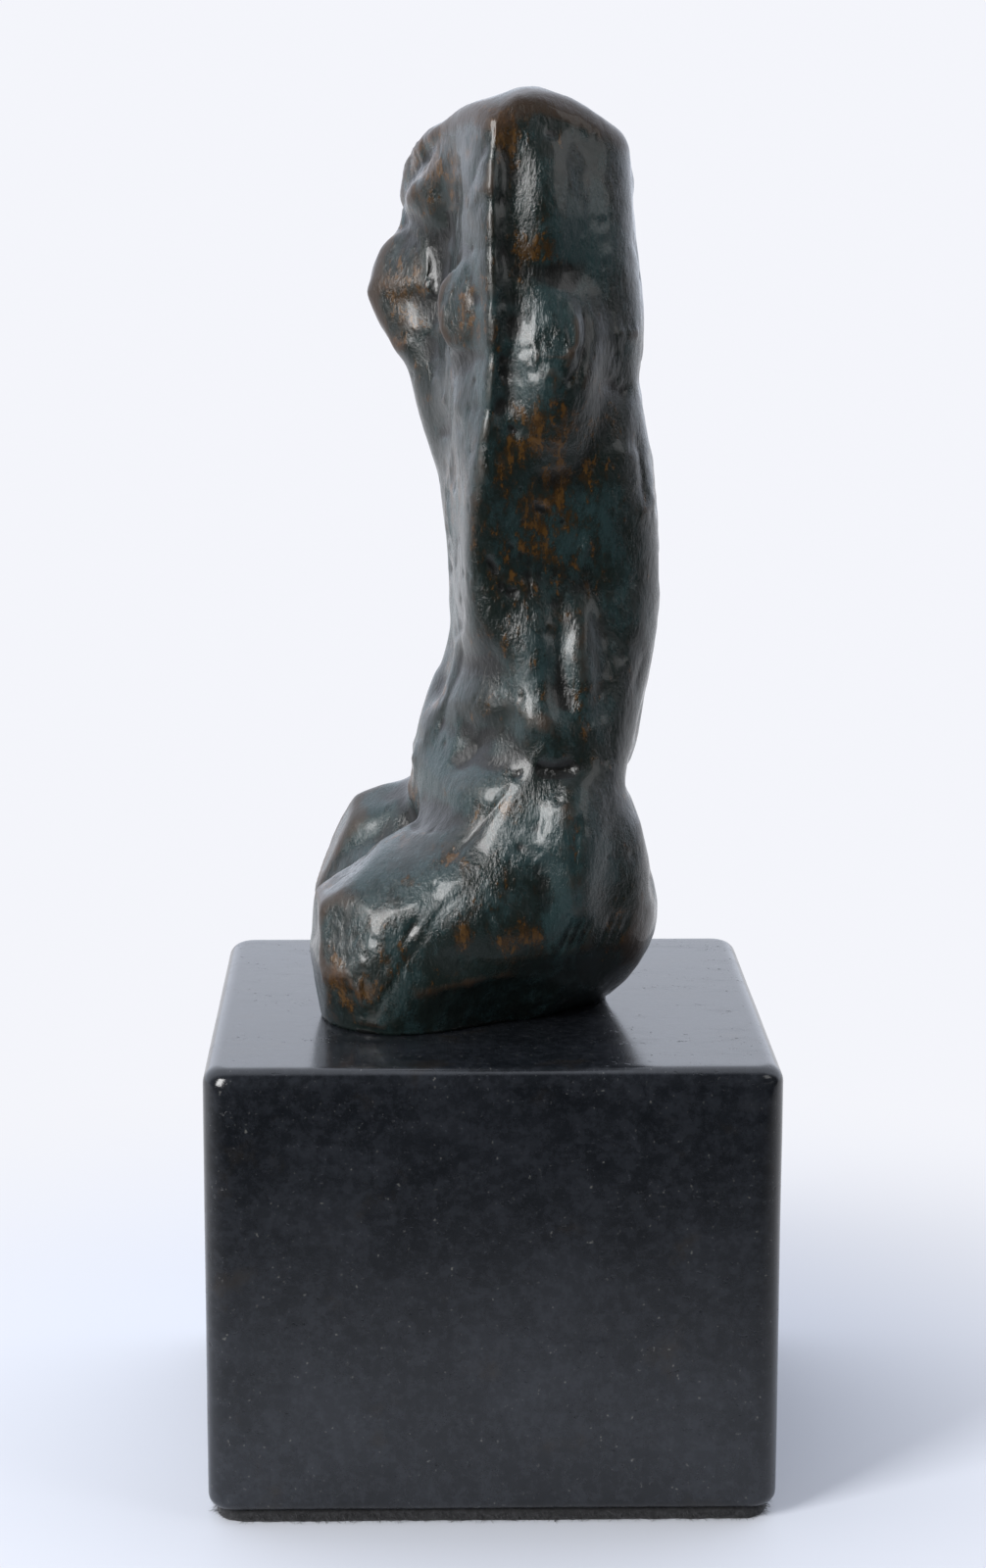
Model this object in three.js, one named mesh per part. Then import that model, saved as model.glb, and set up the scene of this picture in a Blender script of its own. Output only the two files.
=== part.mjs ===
// A small cast torso, headless and armless, on a square stone block with a felt pad below.
// Millimetres, +Z up. The origin is the centre of the felt's underside.
// The figure faces -X, turned a little towards -Y, and its left flank faces -Y.
import * as THREE from 'three';

// Driving dimensions of the block and its pad
const PLINTH_SIDE = 100;
const PLINTH_HEIGHT = 80;
const PLINTH_CORNER = 5;
const PLINTH_TOP_ROUND = 4.5;
const PLINTH_FOOT_ROUND = 2.5;
const FELT_THICK = 2;
const FELT_SIDE = 97.5;
const FELT_CORNER = 4;
const CORNER_STEPS = 5;
const ROUND_STEPS = 5;

// Driving dimensions of the torso: heights are above the top of the block
const TORSO_HEIGHT = 166;
const AROUND = 68;
const RINGS_SIDE = 50;
const RINGS_TOP = 12;
const FAN_HEIGHT = 142;
const FAR_OUT = 60;
const MARCH_STEP = 1.5;
const HALVINGS = 14;

// Sections up the trunk: height, centre along X, then reach to the front, back, near and far side
const SECTIONS = {
  foot: [0, 0, 24, 14.5, 20, 21],
  seat: [8, 1, 27, 17.5, 25.5, 27],
  hips: [18, 2, 29, 23, 28.7, 30.5],
  lap: [28, 3, 24, 20.5, 28.8, 30.5],
  groin: [38, 5, 18, 17, 26.3, 28],
  belly: [50, 7, 17.5, 18.2, 23, 23.5],
  waist: [64, 10, 17.2, 18.3, 21, 20],
  loins: [80, 12, 18.4, 18, 21, 19.5],
  ribs: [96, 10, 17.8, 18, 22, 22],
  breastbone: [112, 7, 16.2, 17.4, 22.5, 25.5],
  chest: [128, 6, 15.6, 17.8, 23, 28],
  armpits: [144, 5.5, 15.3, 16.4, 23, 29],
  shoulders: [165, 5.5, 14, 15, 22.5, 28],
};

// Rounded masses laid on the trunk: centre, half lengths forward, sideways and up,
// facing in degrees, lift of the forward end in degrees, width of the soft joint
const CHEST_TURN = 22;
const HIP_TURN = 12;
const THIGH_TURN = 3;
const MASSES = {
  farShoulder: { at: [-6, 21, 148], size: [10, 11, 10.5], turn: CHEST_TURN, tip: 15, blend: 6 },
  neck: { at: [5, 4, 154], size: [10, 10, 8], turn: CHEST_TURN, tip: 0, blend: 7 },
  farChest: { at: [-5.5, 11, 139], size: [8, 9, 10], turn: CHEST_TURN, tip: 0, blend: 5 },
  farBreast: { at: [-11.5, 7, 128], size: [10, 9, 11.5], turn: CHEST_TURN, tip: -38, blend: 7 },
  farRibs: { at: [-3.5, 6, 113], size: [8.5, 9, 15], turn: CHEST_TURN, tip: -10, blend: 9 },
  nearBreast: { at: [-1.8, -14, 125], size: [7.2, 6, 10.5], turn: CHEST_TURN, tip: -28, blend: 4 },
  nearRibs: { at: [2.5, -13, 106], size: [8, 7, 14], turn: CHEST_TURN, tip: -8, blend: 6 },
  nearBlade: { at: [17.5, -6, 130], size: [7.5, 8, 14], turn: CHEST_TURN, tip: 0, blend: 5 },
  farBlade: { at: [12, 17, 129], size: [8.5, 8.5, 15], turn: CHEST_TURN, tip: 0, blend: 5 },
  flankBulge: { at: [11, -16.6, 121], size: [9, 8, 11], turn: CHEST_TURN, tip: 0, blend: 4 },
  frontBand: { at: [4.5, -15.6, 65], size: [4, 5.5, 12], turn: CHEST_TURN, tip: 0, blend: 3 },
  backBand: { at: [14.3, -16.7, 64], size: [3.6, 5.3, 13], turn: CHEST_TURN, tip: 0, blend: 3 },
  waistKnot: { at: [12, -20, 52], size: [5.5, 5.5, 4.5], turn: CHEST_TURN, tip: 0, blend: 3 },
  bellyRound: { at: [-1, -2, 49], size: [12, 13, 12], turn: CHEST_TURN, tip: 0, blend: 9 },
  nearHip: { at: [11, -17, 36], size: [12, 9, 13], turn: HIP_TURN, tip: 0, blend: 8 },
  hipLump: { at: [9.5, -23, 35], size: [5, 6.5, 7.5], turn: HIP_TURN, tip: 0, blend: 4 },
  hipRim: { at: [23.5, -16, 26], size: [4, 6, 15], turn: HIP_TURN, tip: 0, blend: 4 },
  farHip: { at: [4, 18, 36], size: [12, 9, 13], turn: HIP_TURN, tip: 0, blend: 8 },
  nearButtock: { at: [17, -5, 18.5], size: [12.5, 14, 14], turn: HIP_TURN, tip: 0, blend: 5 },
  farButtock: { at: [12.5, 17, 18], size: [13, 13, 15], turn: HIP_TURN, tip: 0, blend: 5 },
  farThigh: { at: [-13.5, 13.5, 22.5], size: [18, 11, 13.2], turn: THIGH_TURN, tip: 6, blend: 6 },
  farStump: { at: [-15, 10, 6], size: [14, 12, 14], turn: THIGH_TURN, tip: 0, blend: 6 },
  nearThigh: { at: [-9.5, -14, 16.5], size: [22.5, 13.5, 13], turn: THIGH_TURN, tip: -9, blend: 6 },
  nearStump: { at: [-16, -11, 4], size: [13.5, 14.8, 14], turn: THIGH_TURN, tip: 0, blend: 6 },
};

// Round-bottomed grooves pressed into it: the two ends of the line, the radius at each, the soft joint
const GROOVES = {
  betweenThighs: { from: [-46, -1, 30], to: [-17, -1, 33], radii: [13, 4], blend: 8 },
  thighEnds: { from: [-38, 0, 2], to: [-36, 0, 26], radii: [6, 6], blend: 6 },
  cleft: { from: [36, 9, 2], to: [31, 8, 35], radii: [5, 2], blend: 6 },
  spine: { from: [32, 7, 40], to: [24, 7, 158], radii: [5, 4.5], blend: 8 },
  midline: { from: [-14.5, -4, 123], to: [-11, -3, 60], radii: [3.5, 3], blend: 6 },
  nearGroin: { from: [13, -33, 44], to: [-17, -14, 31], radii: [4, 2.5], blend: 6 },
  waistFold: { from: [22, -30, 55], to: [2, -27, 48], radii: [3, 3], blend: 4 },
  thighCrease: { from: [-2, -28, 32], to: [-21, -31, 7], radii: [2.5, 2.5], blend: 4 },
  hipCrease: { from: [17, -31, 42], to: [17, -31, 28], radii: [2.5, 2], blend: 4 },
  armpit: { from: [-13.5, -17, 154], to: [-11, -23, 114], radii: [5, 4], blend: 5 },
};

// Corner squareness of the trunk's sections, 2 being an ellipse
const SOFT_CORNER = 2.45;
const BACK_CORNER = 2.9;

// The shoulders' top: it slopes down to the far side and rolls over to the back, front and near side
const FAR_SLOPE = { from: -6, rate: 0.3 };
const BACK_ROLL = { from: 4.5, rate: 0.031 };
const FRONT_ROLL = { from: 6, rate: 0.075, reach: 10 };
const NEAR_ROLL = { from: -12, rate: 0.03 };
const TOP_BLEND = 5;
const TOP_SCALE = 0.9;

const clamp = THREE.MathUtils.clamp;
const radians = THREE.MathUtils.degToRad;
const ease = (value, low, high) => THREE.MathUtils.smoothstep(value, low, high);

// The smaller of two distances, rounded where they cross over a width of blend
function softMin(a, b, blend) {
  const share = clamp(0.5 + (0.5 * (b - a)) / blend, 0, 1);
  return b + (a - b) * share - blend * share * (1 - share);
}

const softMax = (a, b, blend) => -softMin(-a, -b, blend);

// One column of the sections' table at a height, by a cubic through the neighbours' slopes
const ROWS = Object.values(SECTIONS);
function sectionValue(column, height) {
  const last = ROWS.length - 1;
  const z = clamp(height, ROWS[0][0], ROWS[last][0]);
  let row = 0;
  while (row < last - 1 && z >= ROWS[row + 1][0]) row += 1;
  const slope = (k) => {
    const low = ROWS[Math.max(k - 1, 0)];
    const high = ROWS[Math.min(k + 1, last)];
    return (high[column] - low[column]) / (high[0] - low[0]);
  };
  const span = ROWS[row + 1][0] - ROWS[row][0];
  const t = (z - ROWS[row][0]) / span;
  const rest = 1 - t;
  return (
    (1 + 2 * t) * rest * rest * ROWS[row][column] +
    t * rest * rest * span * slope(row) +
    t * t * (3 - 2 * t) * ROWS[row + 1][column] +
    t * t * (t - 1) * span * slope(row + 1)
  );
}

// How far the trunk turns towards the near side at a height: hips, waist, chest
const trunkTurn = (z) => radians(HIP_TURN - 4 * ease(z, 28, 68) + 12 * ease(z, 80, 122));

// How square the trunk's near front corner is at a height: a soft hip, a crisp edge up the flank
const ridgeCorner = (z) => 2.6 + 1.8 * ease(z, 43, 83) + ease(z, 83, 130);

// A point's reach forward and to the near side of a centre line that is turned by an angle
function turned(dx, dy, angle) {
  const c = Math.cos(angle);
  const s = Math.sin(angle);
  return [-dx * c - dy * s, dx * s - dy * c];
}

// Distance from the trunk: each quarter of a section is a rounded rectangle of its own reach
function trunk(x, y, z) {
  const [ahead, aside] = turned(x - sectionValue(1, z), y, trunkTurn(z));
  const reach = sectionValue(ahead > 0 ? 2 : 3, z);
  const frontCorner = aside > 0 ? ridgeCorner(z) : SOFT_CORNER;
  const backCorner = aside > 0 ? BACK_CORNER : SOFT_CORNER;
  const n = ahead > 0 ? frontCorner : backCorner;
  const half = sectionValue(aside > 0 ? 4 : 5, z);
  const share = (Math.abs(ahead) / reach) ** n + (Math.abs(aside) / half) ** n;
  const radius = Math.hypot(ahead, aside);
  return radius - radius / Math.max(share ** (1 / n), 1e-6);
}

// Height above the shoulders' sloping, rounded top
function aboveShoulders(x, y, z) {
  const slope = FAR_SLOPE.rate * Math.max(y - FAR_SLOPE.from, 0);
  const back = BACK_ROLL.rate * Math.max(x - BACK_ROLL.from, 0) ** 2;
  const front = FRONT_ROLL.rate * clamp(FRONT_ROLL.from - x, 0, FRONT_ROLL.reach) ** 2;
  const near = NEAR_ROLL.rate * Math.max(NEAR_ROLL.from - y, 0) ** 2;
  return (z - (TORSO_HEIGHT - slope - back - front - near)) * TOP_SCALE;
}

// Distance from a rounded mass
function massDistance({ at, size, turn, tip }, x, y, z) {
  const [ahead, aside] = turned(x - at[0], y - at[1], radians(turn));
  const up = z - at[2];
  const c = Math.cos(radians(tip));
  const s = Math.sin(radians(tip));
  const own = [ahead * c + up * s, aside, up * c - ahead * s];
  const near = Math.hypot(...own.map((value, k) => value / size[k]));
  const steep = Math.hypot(...own.map((value, k) => value / size[k] ** 2));
  return (near * (near - 1)) / Math.max(steep, 1e-9);
}

// Distance from a groove's tapering round bar
function grooveDistance({ from, to, radii }, x, y, z) {
  const line = to.map((value, k) => value - from[k]);
  const offset = [x - from[0], y - from[1], z - from[2]];
  const dot = (a, b) => a.reduce((sum, value, k) => sum + value * b[k], 0);
  const t = clamp(dot(offset, line) / dot(line, line), 0, 1);
  const away = Math.hypot(...offset.map((value, k) => value - t * line[k]));
  return away - THREE.MathUtils.lerp(radii[0], radii[1], t);
}

// Distance from the whole torso: trunk under its top, masses joined on, grooves pressed in
function torsoDistance(x, y, z) {
  let distance = softMax(trunk(x, y, z), aboveShoulders(x, y, z), TOP_BLEND);
  for (const mass of Object.values(MASSES)) {
    distance = softMin(distance, massDistance(mass, x, y, z), mass.blend);
  }
  for (const groove of Object.values(GROOVES)) {
    distance = softMax(distance, -grooveDistance(groove, x, y, z), groove.blend);
  }
  return distance;
}

// The outermost point of the torso along a ray, found by marching inwards and then halving
function surfacePoint(origin, direction) {
  const point = new THREE.Vector3();
  const inside = (r) => {
    point.copy(direction).multiplyScalar(r).add(origin);
    return torsoDistance(point.x, point.y, point.z) < 0;
  };
  let low = FAR_OUT;
  while (low > MARCH_STEP && !inside(low)) low -= MARCH_STEP;
  let high = low + MARCH_STEP;
  for (let k = 0; k < HALVINGS; k += 1) {
    const middle = (low + high) / 2;
    if (inside(middle)) low = middle;
    else high = middle;
  }
  return point.copy(direction).multiplyScalar(low).add(origin).clone();
}

// Rings of rays: level at the foot, fanned up over the lap, level up the trunk, fanned over the top
const LAP = { share: 0.16, height: 6, lift: 28 };
const LEVEL = { share: 0.55, height: 70 };
function ringRays() {
  const rings = [];
  for (let k = 0; k < RINGS_SIDE; k += 1) {
    const share = k / (RINGS_SIDE - 1);
    const toLap = clamp(share / LAP.share, 0, 1);
    const toLevel = clamp((share - LAP.share) / (LEVEL.share - LAP.share), 0, 1);
    const toTop = clamp((share - LEVEL.share) / (1 - LEVEL.share), 0, 1);
    const height =
      LAP.height * toLap + (LEVEL.height - LAP.height) * toLevel + (FAN_HEIGHT - LEVEL.height) * toTop;
    rings.push({ height, lift: radians(LAP.lift * toLap * (1 - toLevel)) });
  }
  for (let k = 1; k < RINGS_TOP; k += 1) {
    rings.push({ height: FAN_HEIGHT, lift: (k / RINGS_TOP) * (Math.PI / 2) });
  }
  return rings;
}

// A closed skin over rings of points, with a fan to a point below and one above
function closedSkin(rings, bottom, top) {
  const around = rings[0].length;
  const points = [...rings.flat(), bottom, top];
  const bottomIndex = points.length - 2;
  const topIndex = points.length - 1;
  const lastRing = (rings.length - 1) * around;
  const index = [];
  for (let i = 0; i < around; i += 1) {
    const next = (i + 1) % around;
    index.push(bottomIndex, next, i, topIndex, lastRing + i, lastRing + next);
    for (let j = 0; j < rings.length - 1; j += 1) {
      const low = j * around;
      const high = low + around;
      index.push(low + i, low + next, high + next, low + i, high + next, high + i);
    }
  }
  const geometry = new THREE.BufferGeometry().setFromPoints(points);
  geometry.setIndex(index);
  geometry.computeVertexNormals();
  return geometry;
}

function torsoGeometry() {
  const rings = ringRays().map(({ height, lift }) => {
    const origin = new THREE.Vector3(sectionValue(1, height), 0, height);
    return Array.from({ length: AROUND }, (_, i) => {
      const angle = (i / AROUND) * Math.PI * 2;
      const level = Math.cos(lift);
      const direction = new THREE.Vector3(-Math.cos(angle) * level, -Math.sin(angle) * level, Math.sin(lift));
      return surfacePoint(origin, direction);
    });
  });
  const bottom = new THREE.Vector3(sectionValue(1, 0), 0, 0);
  const crown = new THREE.Vector3(sectionValue(1, FAN_HEIGHT), 0, FAN_HEIGHT);
  return closedSkin(rings, bottom, surfacePoint(crown, new THREE.Vector3(0, 0, 1)));
}

// One level ring of a square with round corners, anticlockwise from above
function roundedSquareRing(half, corner, z) {
  const points = [];
  for (let k = 0; k < 4; k += 1) {
    const start = (k * Math.PI) / 2;
    const centre = new THREE.Vector2(half - corner, half - corner).rotateAround(new THREE.Vector2(), start);
    for (let step = 0; step <= CORNER_STEPS; step += 1) {
      const angle = start + ((step / CORNER_STEPS) * Math.PI) / 2;
      points.push(
        new THREE.Vector3(centre.x + corner * Math.cos(angle), centre.y + corner * Math.sin(angle), z),
      );
    }
  }
  return points;
}

// The stone block: its rings draw in along a quarter circle at the foot and at the top
function plinthGeometry() {
  const rings = [];
  const addRing = (inset, z) => {
    rings.push(roundedSquareRing(PLINTH_SIDE / 2 - inset, PLINTH_CORNER, z));
  };
  for (let step = 0; step <= ROUND_STEPS; step += 1) {
    const angle = ((step / ROUND_STEPS) * Math.PI) / 2;
    addRing(PLINTH_FOOT_ROUND * (1 - Math.sin(angle)), PLINTH_FOOT_ROUND * (1 - Math.cos(angle)));
  }
  for (let step = 0; step <= ROUND_STEPS; step += 1) {
    const angle = ((step / ROUND_STEPS) * Math.PI) / 2;
    const z = PLINTH_HEIGHT - PLINTH_TOP_ROUND * (1 - Math.sin(angle));
    addRing(PLINTH_TOP_ROUND * (1 - Math.cos(angle)), z);
  }
  return closedSkin(rings, new THREE.Vector3(0, 0, 0), new THREE.Vector3(0, 0, PLINTH_HEIGHT));
}

// The felt: a flat sheet, a little smaller than the block
function feltGeometry() {
  const rings = [0, FELT_THICK].map((z) => roundedSquareRing(FELT_SIDE / 2, FELT_CORNER, z));
  return closedSkin(rings, new THREE.Vector3(0, 0, 0), new THREE.Vector3(0, 0, FELT_THICK));
}

const bronze = new THREE.MeshStandardMaterial({ color: 0x2c352f, roughness: 0.35, metalness: 0.8 });
const blackStone = new THREE.MeshStandardMaterial({ color: 0x1d1f23, roughness: 0.22, metalness: 0 });
const blackFelt = new THREE.MeshStandardMaterial({ color: 0x0e0e10, roughness: 1, metalness: 0 });

function piece(name, geometry, material, z) {
  const mesh = new THREE.Mesh(geometry, material);
  mesh.name = name;
  mesh.position.z = z;
  return mesh;
}

const sculpture = new THREE.Group();
sculpture.add(
  piece('felt_pad', feltGeometry(), blackFelt, 0),
  piece('plinth', plinthGeometry(), blackStone, FELT_THICK),
  piece('torso', torsoGeometry(), bronze, FELT_THICK + PLINTH_HEIGHT),
);

export default sculpture;
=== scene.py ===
# %% [markdown]
# # A waxed bronze torso on a polished stone block
# The object is a small cast bronze: a torso without head, arms or legs, 166 mm tall, on a block of black
# stone with a felt pad glued under it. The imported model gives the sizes, and this lesson dresses it.
# Each piece is a surface worked out as whole numpy arrays, because a modelled bronze is all slow curves
# that a formula holds better than a list of points. Lengths below are in millimetres until a mesh is made.

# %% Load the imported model
import math

import bpy
import numpy as np
from mathutils import Matrix, Vector


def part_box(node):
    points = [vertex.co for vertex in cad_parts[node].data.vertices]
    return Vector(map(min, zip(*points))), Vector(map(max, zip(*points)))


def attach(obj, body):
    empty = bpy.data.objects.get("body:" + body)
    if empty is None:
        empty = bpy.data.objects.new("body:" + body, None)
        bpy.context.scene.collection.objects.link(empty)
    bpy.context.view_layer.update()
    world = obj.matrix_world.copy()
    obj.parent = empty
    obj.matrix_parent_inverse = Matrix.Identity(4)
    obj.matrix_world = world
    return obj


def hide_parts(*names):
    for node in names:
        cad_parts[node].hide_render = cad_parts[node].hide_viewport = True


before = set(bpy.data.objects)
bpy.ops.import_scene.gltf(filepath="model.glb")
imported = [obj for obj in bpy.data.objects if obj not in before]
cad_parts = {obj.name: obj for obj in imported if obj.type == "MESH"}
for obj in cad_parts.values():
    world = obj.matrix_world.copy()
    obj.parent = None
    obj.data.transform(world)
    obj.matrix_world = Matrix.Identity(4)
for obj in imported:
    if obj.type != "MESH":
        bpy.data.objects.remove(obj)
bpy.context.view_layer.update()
MM = 0.001
scene = bpy.context.scene


def node_box(node):
    """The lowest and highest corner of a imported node, in millimetres."""
    return [np.array(corner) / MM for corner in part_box(node)]


block_low, block_high = node_box("plinth")
felt_low, felt_high = node_box("felt_pad")
print("block", block_high - block_low, "felt", felt_high - felt_low)

# %% [markdown]
# ## Camera
# The photograph was taken with a long lens from a little above the figure's waist, square to the block's
# front. A camera can be aimed with a constraint, but a fixed turn, tilt and roll is plainer, and it stays
# put when the view is moved round the object.

# %% Camera
CAMERA_PLACE = Vector((-0.01352, -0.62062, 0.24125))
CAMERA_TURN = math.radians(1.327)
CAMERA_TILT = math.radians(-10.846)
CAMERA_ROLL = math.radians(0.134)
LENS, SENSOR_WIDTH = 79.52, 36.0

camera_data = bpy.data.cameras.new("camera")
camera_data.sensor_width = SENSOR_WIDTH
camera_data.lens = LENS
camera_data.clip_start = 0.01
camera = bpy.data.objects.new("camera", camera_data)
camera.matrix_world = (
    Matrix.Translation(CAMERA_PLACE)
    @ Matrix.Rotation(-CAMERA_TURN, 4, "Z")
    @ Matrix.Rotation(math.pi / 2 + CAMERA_TILT, 4, "X")
    @ Matrix.Rotation(CAMERA_ROLL, 4, "Z")
)
scene.collection.objects.link(camera)
scene.camera = camera
scene.view_settings.view_transform = "Standard"
print("camera", tuple(round(value, 3) for value in camera.location))

# %% [markdown]
# ## Writing materials as formulas
# A material is a graph of nodes, and a formula such as wear * (1 - dirt) takes four of them. The class
# below wraps one socket, so that Python's own operators add the Math nodes, and every other node comes
# from one method. Mixing colours has its own method, because a Math node would turn a colour grey.


# %% A socket that reads as a formula
class Wire:
    """One output in a node tree. + - and * add Math nodes, and node() adds any other kind."""

    def __init__(self, tree, socket=None):
        self.tree = tree
        self.socket = socket

    def node(self, kind, settings=None, sockets=None, output=0):
        """A new node: its settings first, then its sockets' values or links. Returns one output."""
        made = self.tree.nodes.new(kind)
        for name, value in (settings or {}).items():
            setattr(made, name, value)
        for key, value in (sockets or {}).items():
            self.plug(made.inputs[key], value)
        return Wire(self.tree, made.outputs[output] if len(made.outputs) else None)

    def plug(self, target, value):
        """Link a wire to a socket, or set the socket's own value."""
        if isinstance(value, Wire):
            self.tree.links.new(value.socket, target)
        elif target.type == "RGBA":
            target.default_value = (*value[:3], 1.0)
        else:
            target.default_value = value

    def math(self, operation, first, second=0.0):
        """A Math node of two values or wires."""
        return self.node("ShaderNodeMath", {"operation": operation}, {0: first, 1: second})

    def __add__(self, other):
        return self.math("ADD", self, other)

    __radd__ = __add__

    def __mul__(self, other):
        return self.math("MULTIPLY", self, other)

    __rmul__ = __mul__

    def __sub__(self, other):
        return self.math("SUBTRACT", self, other)

    def __rsub__(self, other):
        return self.math("SUBTRACT", other, self)

    def step(self, low, high):
        """0 below low, 1 above high, with a smooth rise between them (high may be the smaller one)."""
        if low > high:
            return 1 - self.step(high, low)
        settings = {"interpolation_type": "SMOOTHSTEP"}
        return self.node("ShaderNodeMapRange", settings, {"Value": self, 1: low, 2: high})

    def mix(self, colour, other):
        """From one colour to another, with this value as the share of the second."""
        return self.node("ShaderNodeMix", {"data_type": "RGBA"}, {0: self, 6: colour, 7: other}, 2)


def noise(place, size, detail=3.0, rough=0.55, stretch=None, shift=0.0):
    """Noise with features of about the given size in metres, stretched along an axis where asked."""
    scale = stretch or (1.0, 1.0, 1.0)
    sockets = {"Vector": place, "Location": (shift, shift * 0.7, -shift), "Scale": scale}
    moved = place.node("ShaderNodeMapping", {}, sockets)
    sockets = {"Vector": moved, "Scale": 1.0 / size, "Detail": detail, "Roughness": rough}
    return place.node("ShaderNodeTexNoise", {}, sockets)


def new_material(name):
    """An empty node material: returns it, a wire to start from, and its Object coordinates."""
    material = bpy.data.materials.new(name)
    material.use_nodes = True
    material.node_tree.nodes.clear()
    start = Wire(material.node_tree)
    return material, start, start.node("ShaderNodeTexCoord", output="Object")


def bumped(start, strength, depth, height):
    """A normal tilted by a height that is a value, with a depth in metres."""
    return start.node("ShaderNodeBump", {}, {"Strength": strength, "Distance": depth, "Height": height})


def finish_material(start, shader):
    """Join a shader to the material's output."""
    start.node("ShaderNodeOutputMaterial", {}, {"Surface": shader})


print("formula wires ready")

# %% [markdown]
# ## Floor, backdrop and light
# The bronze is nearly black, so what shows is what it reflects: a white room behind, a dark room behind
# the camera, and two soft boxes left and right of it. A curved paper sweep would do for one view, but it
# would stand in the way of the others. So a flat floor fades into the backdrop's own white far out, and
# the world is white behind the object and dim behind the camera. The bronze mirrors the floor too, so in
# reflections the floor darkens towards the camera, while a straight look at it stays white.

# %% Floor
BACKDROP = (0.905, 0.915, 0.965)
PAPER = (0.70, 0.725, 0.79)
UNLIT = (0.0, 0.0, 0.0)
FLOOR_HALF = 4.0
FLOOR_FADE = (0.03, 0.24)
FLOOR_DUSK = (-0.30, 0.10)


def make_floor():
    """A flat square far larger than the view, a pale sheet that fades into the backdrop's white."""
    mesh = bpy.data.meshes.new("floor")
    half = FLOOR_HALF
    corners = [(-half, -half, 0), (half, -half, 0), (half, half, 0), (-half, half, 0)]
    mesh.from_pydata(corners, [], [(0, 1, 2, 3)])
    material, start, place = new_material("pale_floor")
    away = start.node("ShaderNodeVectorMath", {"operation": "LENGTH"}, {0: place}, "Value")
    paper = start.node("ShaderNodeBsdfDiffuse", {}, {"Color": PAPER})
    depth = start.node("ShaderNodeSeparateXYZ", {}, {0: place}, "Y")
    straight = start.node("ShaderNodeLightPath", output="Is Camera Ray")
    lit = start.math("MAXIMUM", straight, depth.step(*FLOOR_DUSK))
    white = start.node("ShaderNodeEmission", {}, {"Color": lit.mix(UNLIT, BACKDROP)})
    share = away.step(*FLOOR_FADE)
    finish_material(start, start.node("ShaderNodeMixShader", {}, {0: share, 1: paper, 2: white}))
    mesh.materials.append(material)
    floor = bpy.data.objects.new("floor", mesh)
    scene.collection.objects.link(floor)


make_floor()
print("floor", 2 * FLOOR_HALF, "m across")

# %% World
ROOM_TINT = (0.91, 0.965, 1.09)
DIM, BRIGHT = 0.035, 1.35
WHITE_UPWARD = 0.35
WHITE_EDGE = (-0.05, 0.45)


def make_world():
    """White from behind and above, dim from the camera's side, and plain white where it is seen."""
    world = bpy.data.worlds.new("white_room")
    world.use_nodes = True
    world.node_tree.nodes.clear()
    start = Wire(world.node_tree)
    towards = start.node("ShaderNodeTexCoord", output="Generated")
    parts = start.node("ShaderNodeSeparateXYZ", {}, {0: towards})
    across, up = (Wire(start.tree, parts.socket.node.outputs[name]) for name in ("Y", "Z"))
    behind = (across + up * WHITE_UPWARD).step(*WHITE_EDGE)
    shade = behind.mix([DIM * value for value in ROOM_TINT], [BRIGHT * value for value in ROOM_TINT])
    room = start.node("ShaderNodeBackground", {}, {"Color": shade})
    seen = start.node("ShaderNodeBackground", {}, {"Color": BACKDROP})
    straight = start.node("ShaderNodeLightPath", output="Is Camera Ray")
    shown = start.node("ShaderNodeMixShader", {}, {0: straight, 1: room, 2: seen})
    start.node("ShaderNodeOutputWorld", {}, {"Surface": shown})
    scene.world = world


make_world()
print("world from", DIM, "to", BRIGHT)

# %% Soft boxes
LIGHT_TARGET = Vector((0.0, 0.0, 0.16))
SOFT_BOXES = {
    # place and size in metres, power in watts
    "left_box": ((-0.69, -0.65, 0.48), (0.36, 0.66), 13.0),
    "right_box": ((0.80, -0.52, 0.58), (0.34, 0.70), 1.5),
}


def make_soft_box(name, place, size, power):
    """A rectangular lamp aimed at the figure, which the camera itself doesn't see."""
    lamp = bpy.data.lights.new(name, "AREA")
    lamp.shape = "RECTANGLE"
    lamp.size, lamp.size_y = size
    lamp.energy = power
    box = bpy.data.objects.new(name, lamp)
    box.location = place
    box.rotation_euler = (LIGHT_TARGET - Vector(place)).to_track_quat("-Z", "Y").to_euler()
    box.visible_camera = False
    scene.collection.objects.link(box)


for box_name, (box_place, box_size, box_power) in SOFT_BOXES.items():
    make_soft_box(box_name, box_place, box_size, box_power)
print("soft boxes", *SOFT_BOXES)

# %% [markdown]
# ## The torso's form
# A modeller builds a figure from a trunk, presses on pellets of clay for the breast, hip and thighs, and
# draws grooves with a tool. The form below is made the same way, as a field: a number that is negative
# inside the figure. Sections up the trunk give its core, rounded masses are joined on softly, some of them
# with flat faces beaten onto them, and grooves are cut out softly. It could be sculpted by hand, but a
# field keeps each mass a named value.

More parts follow.
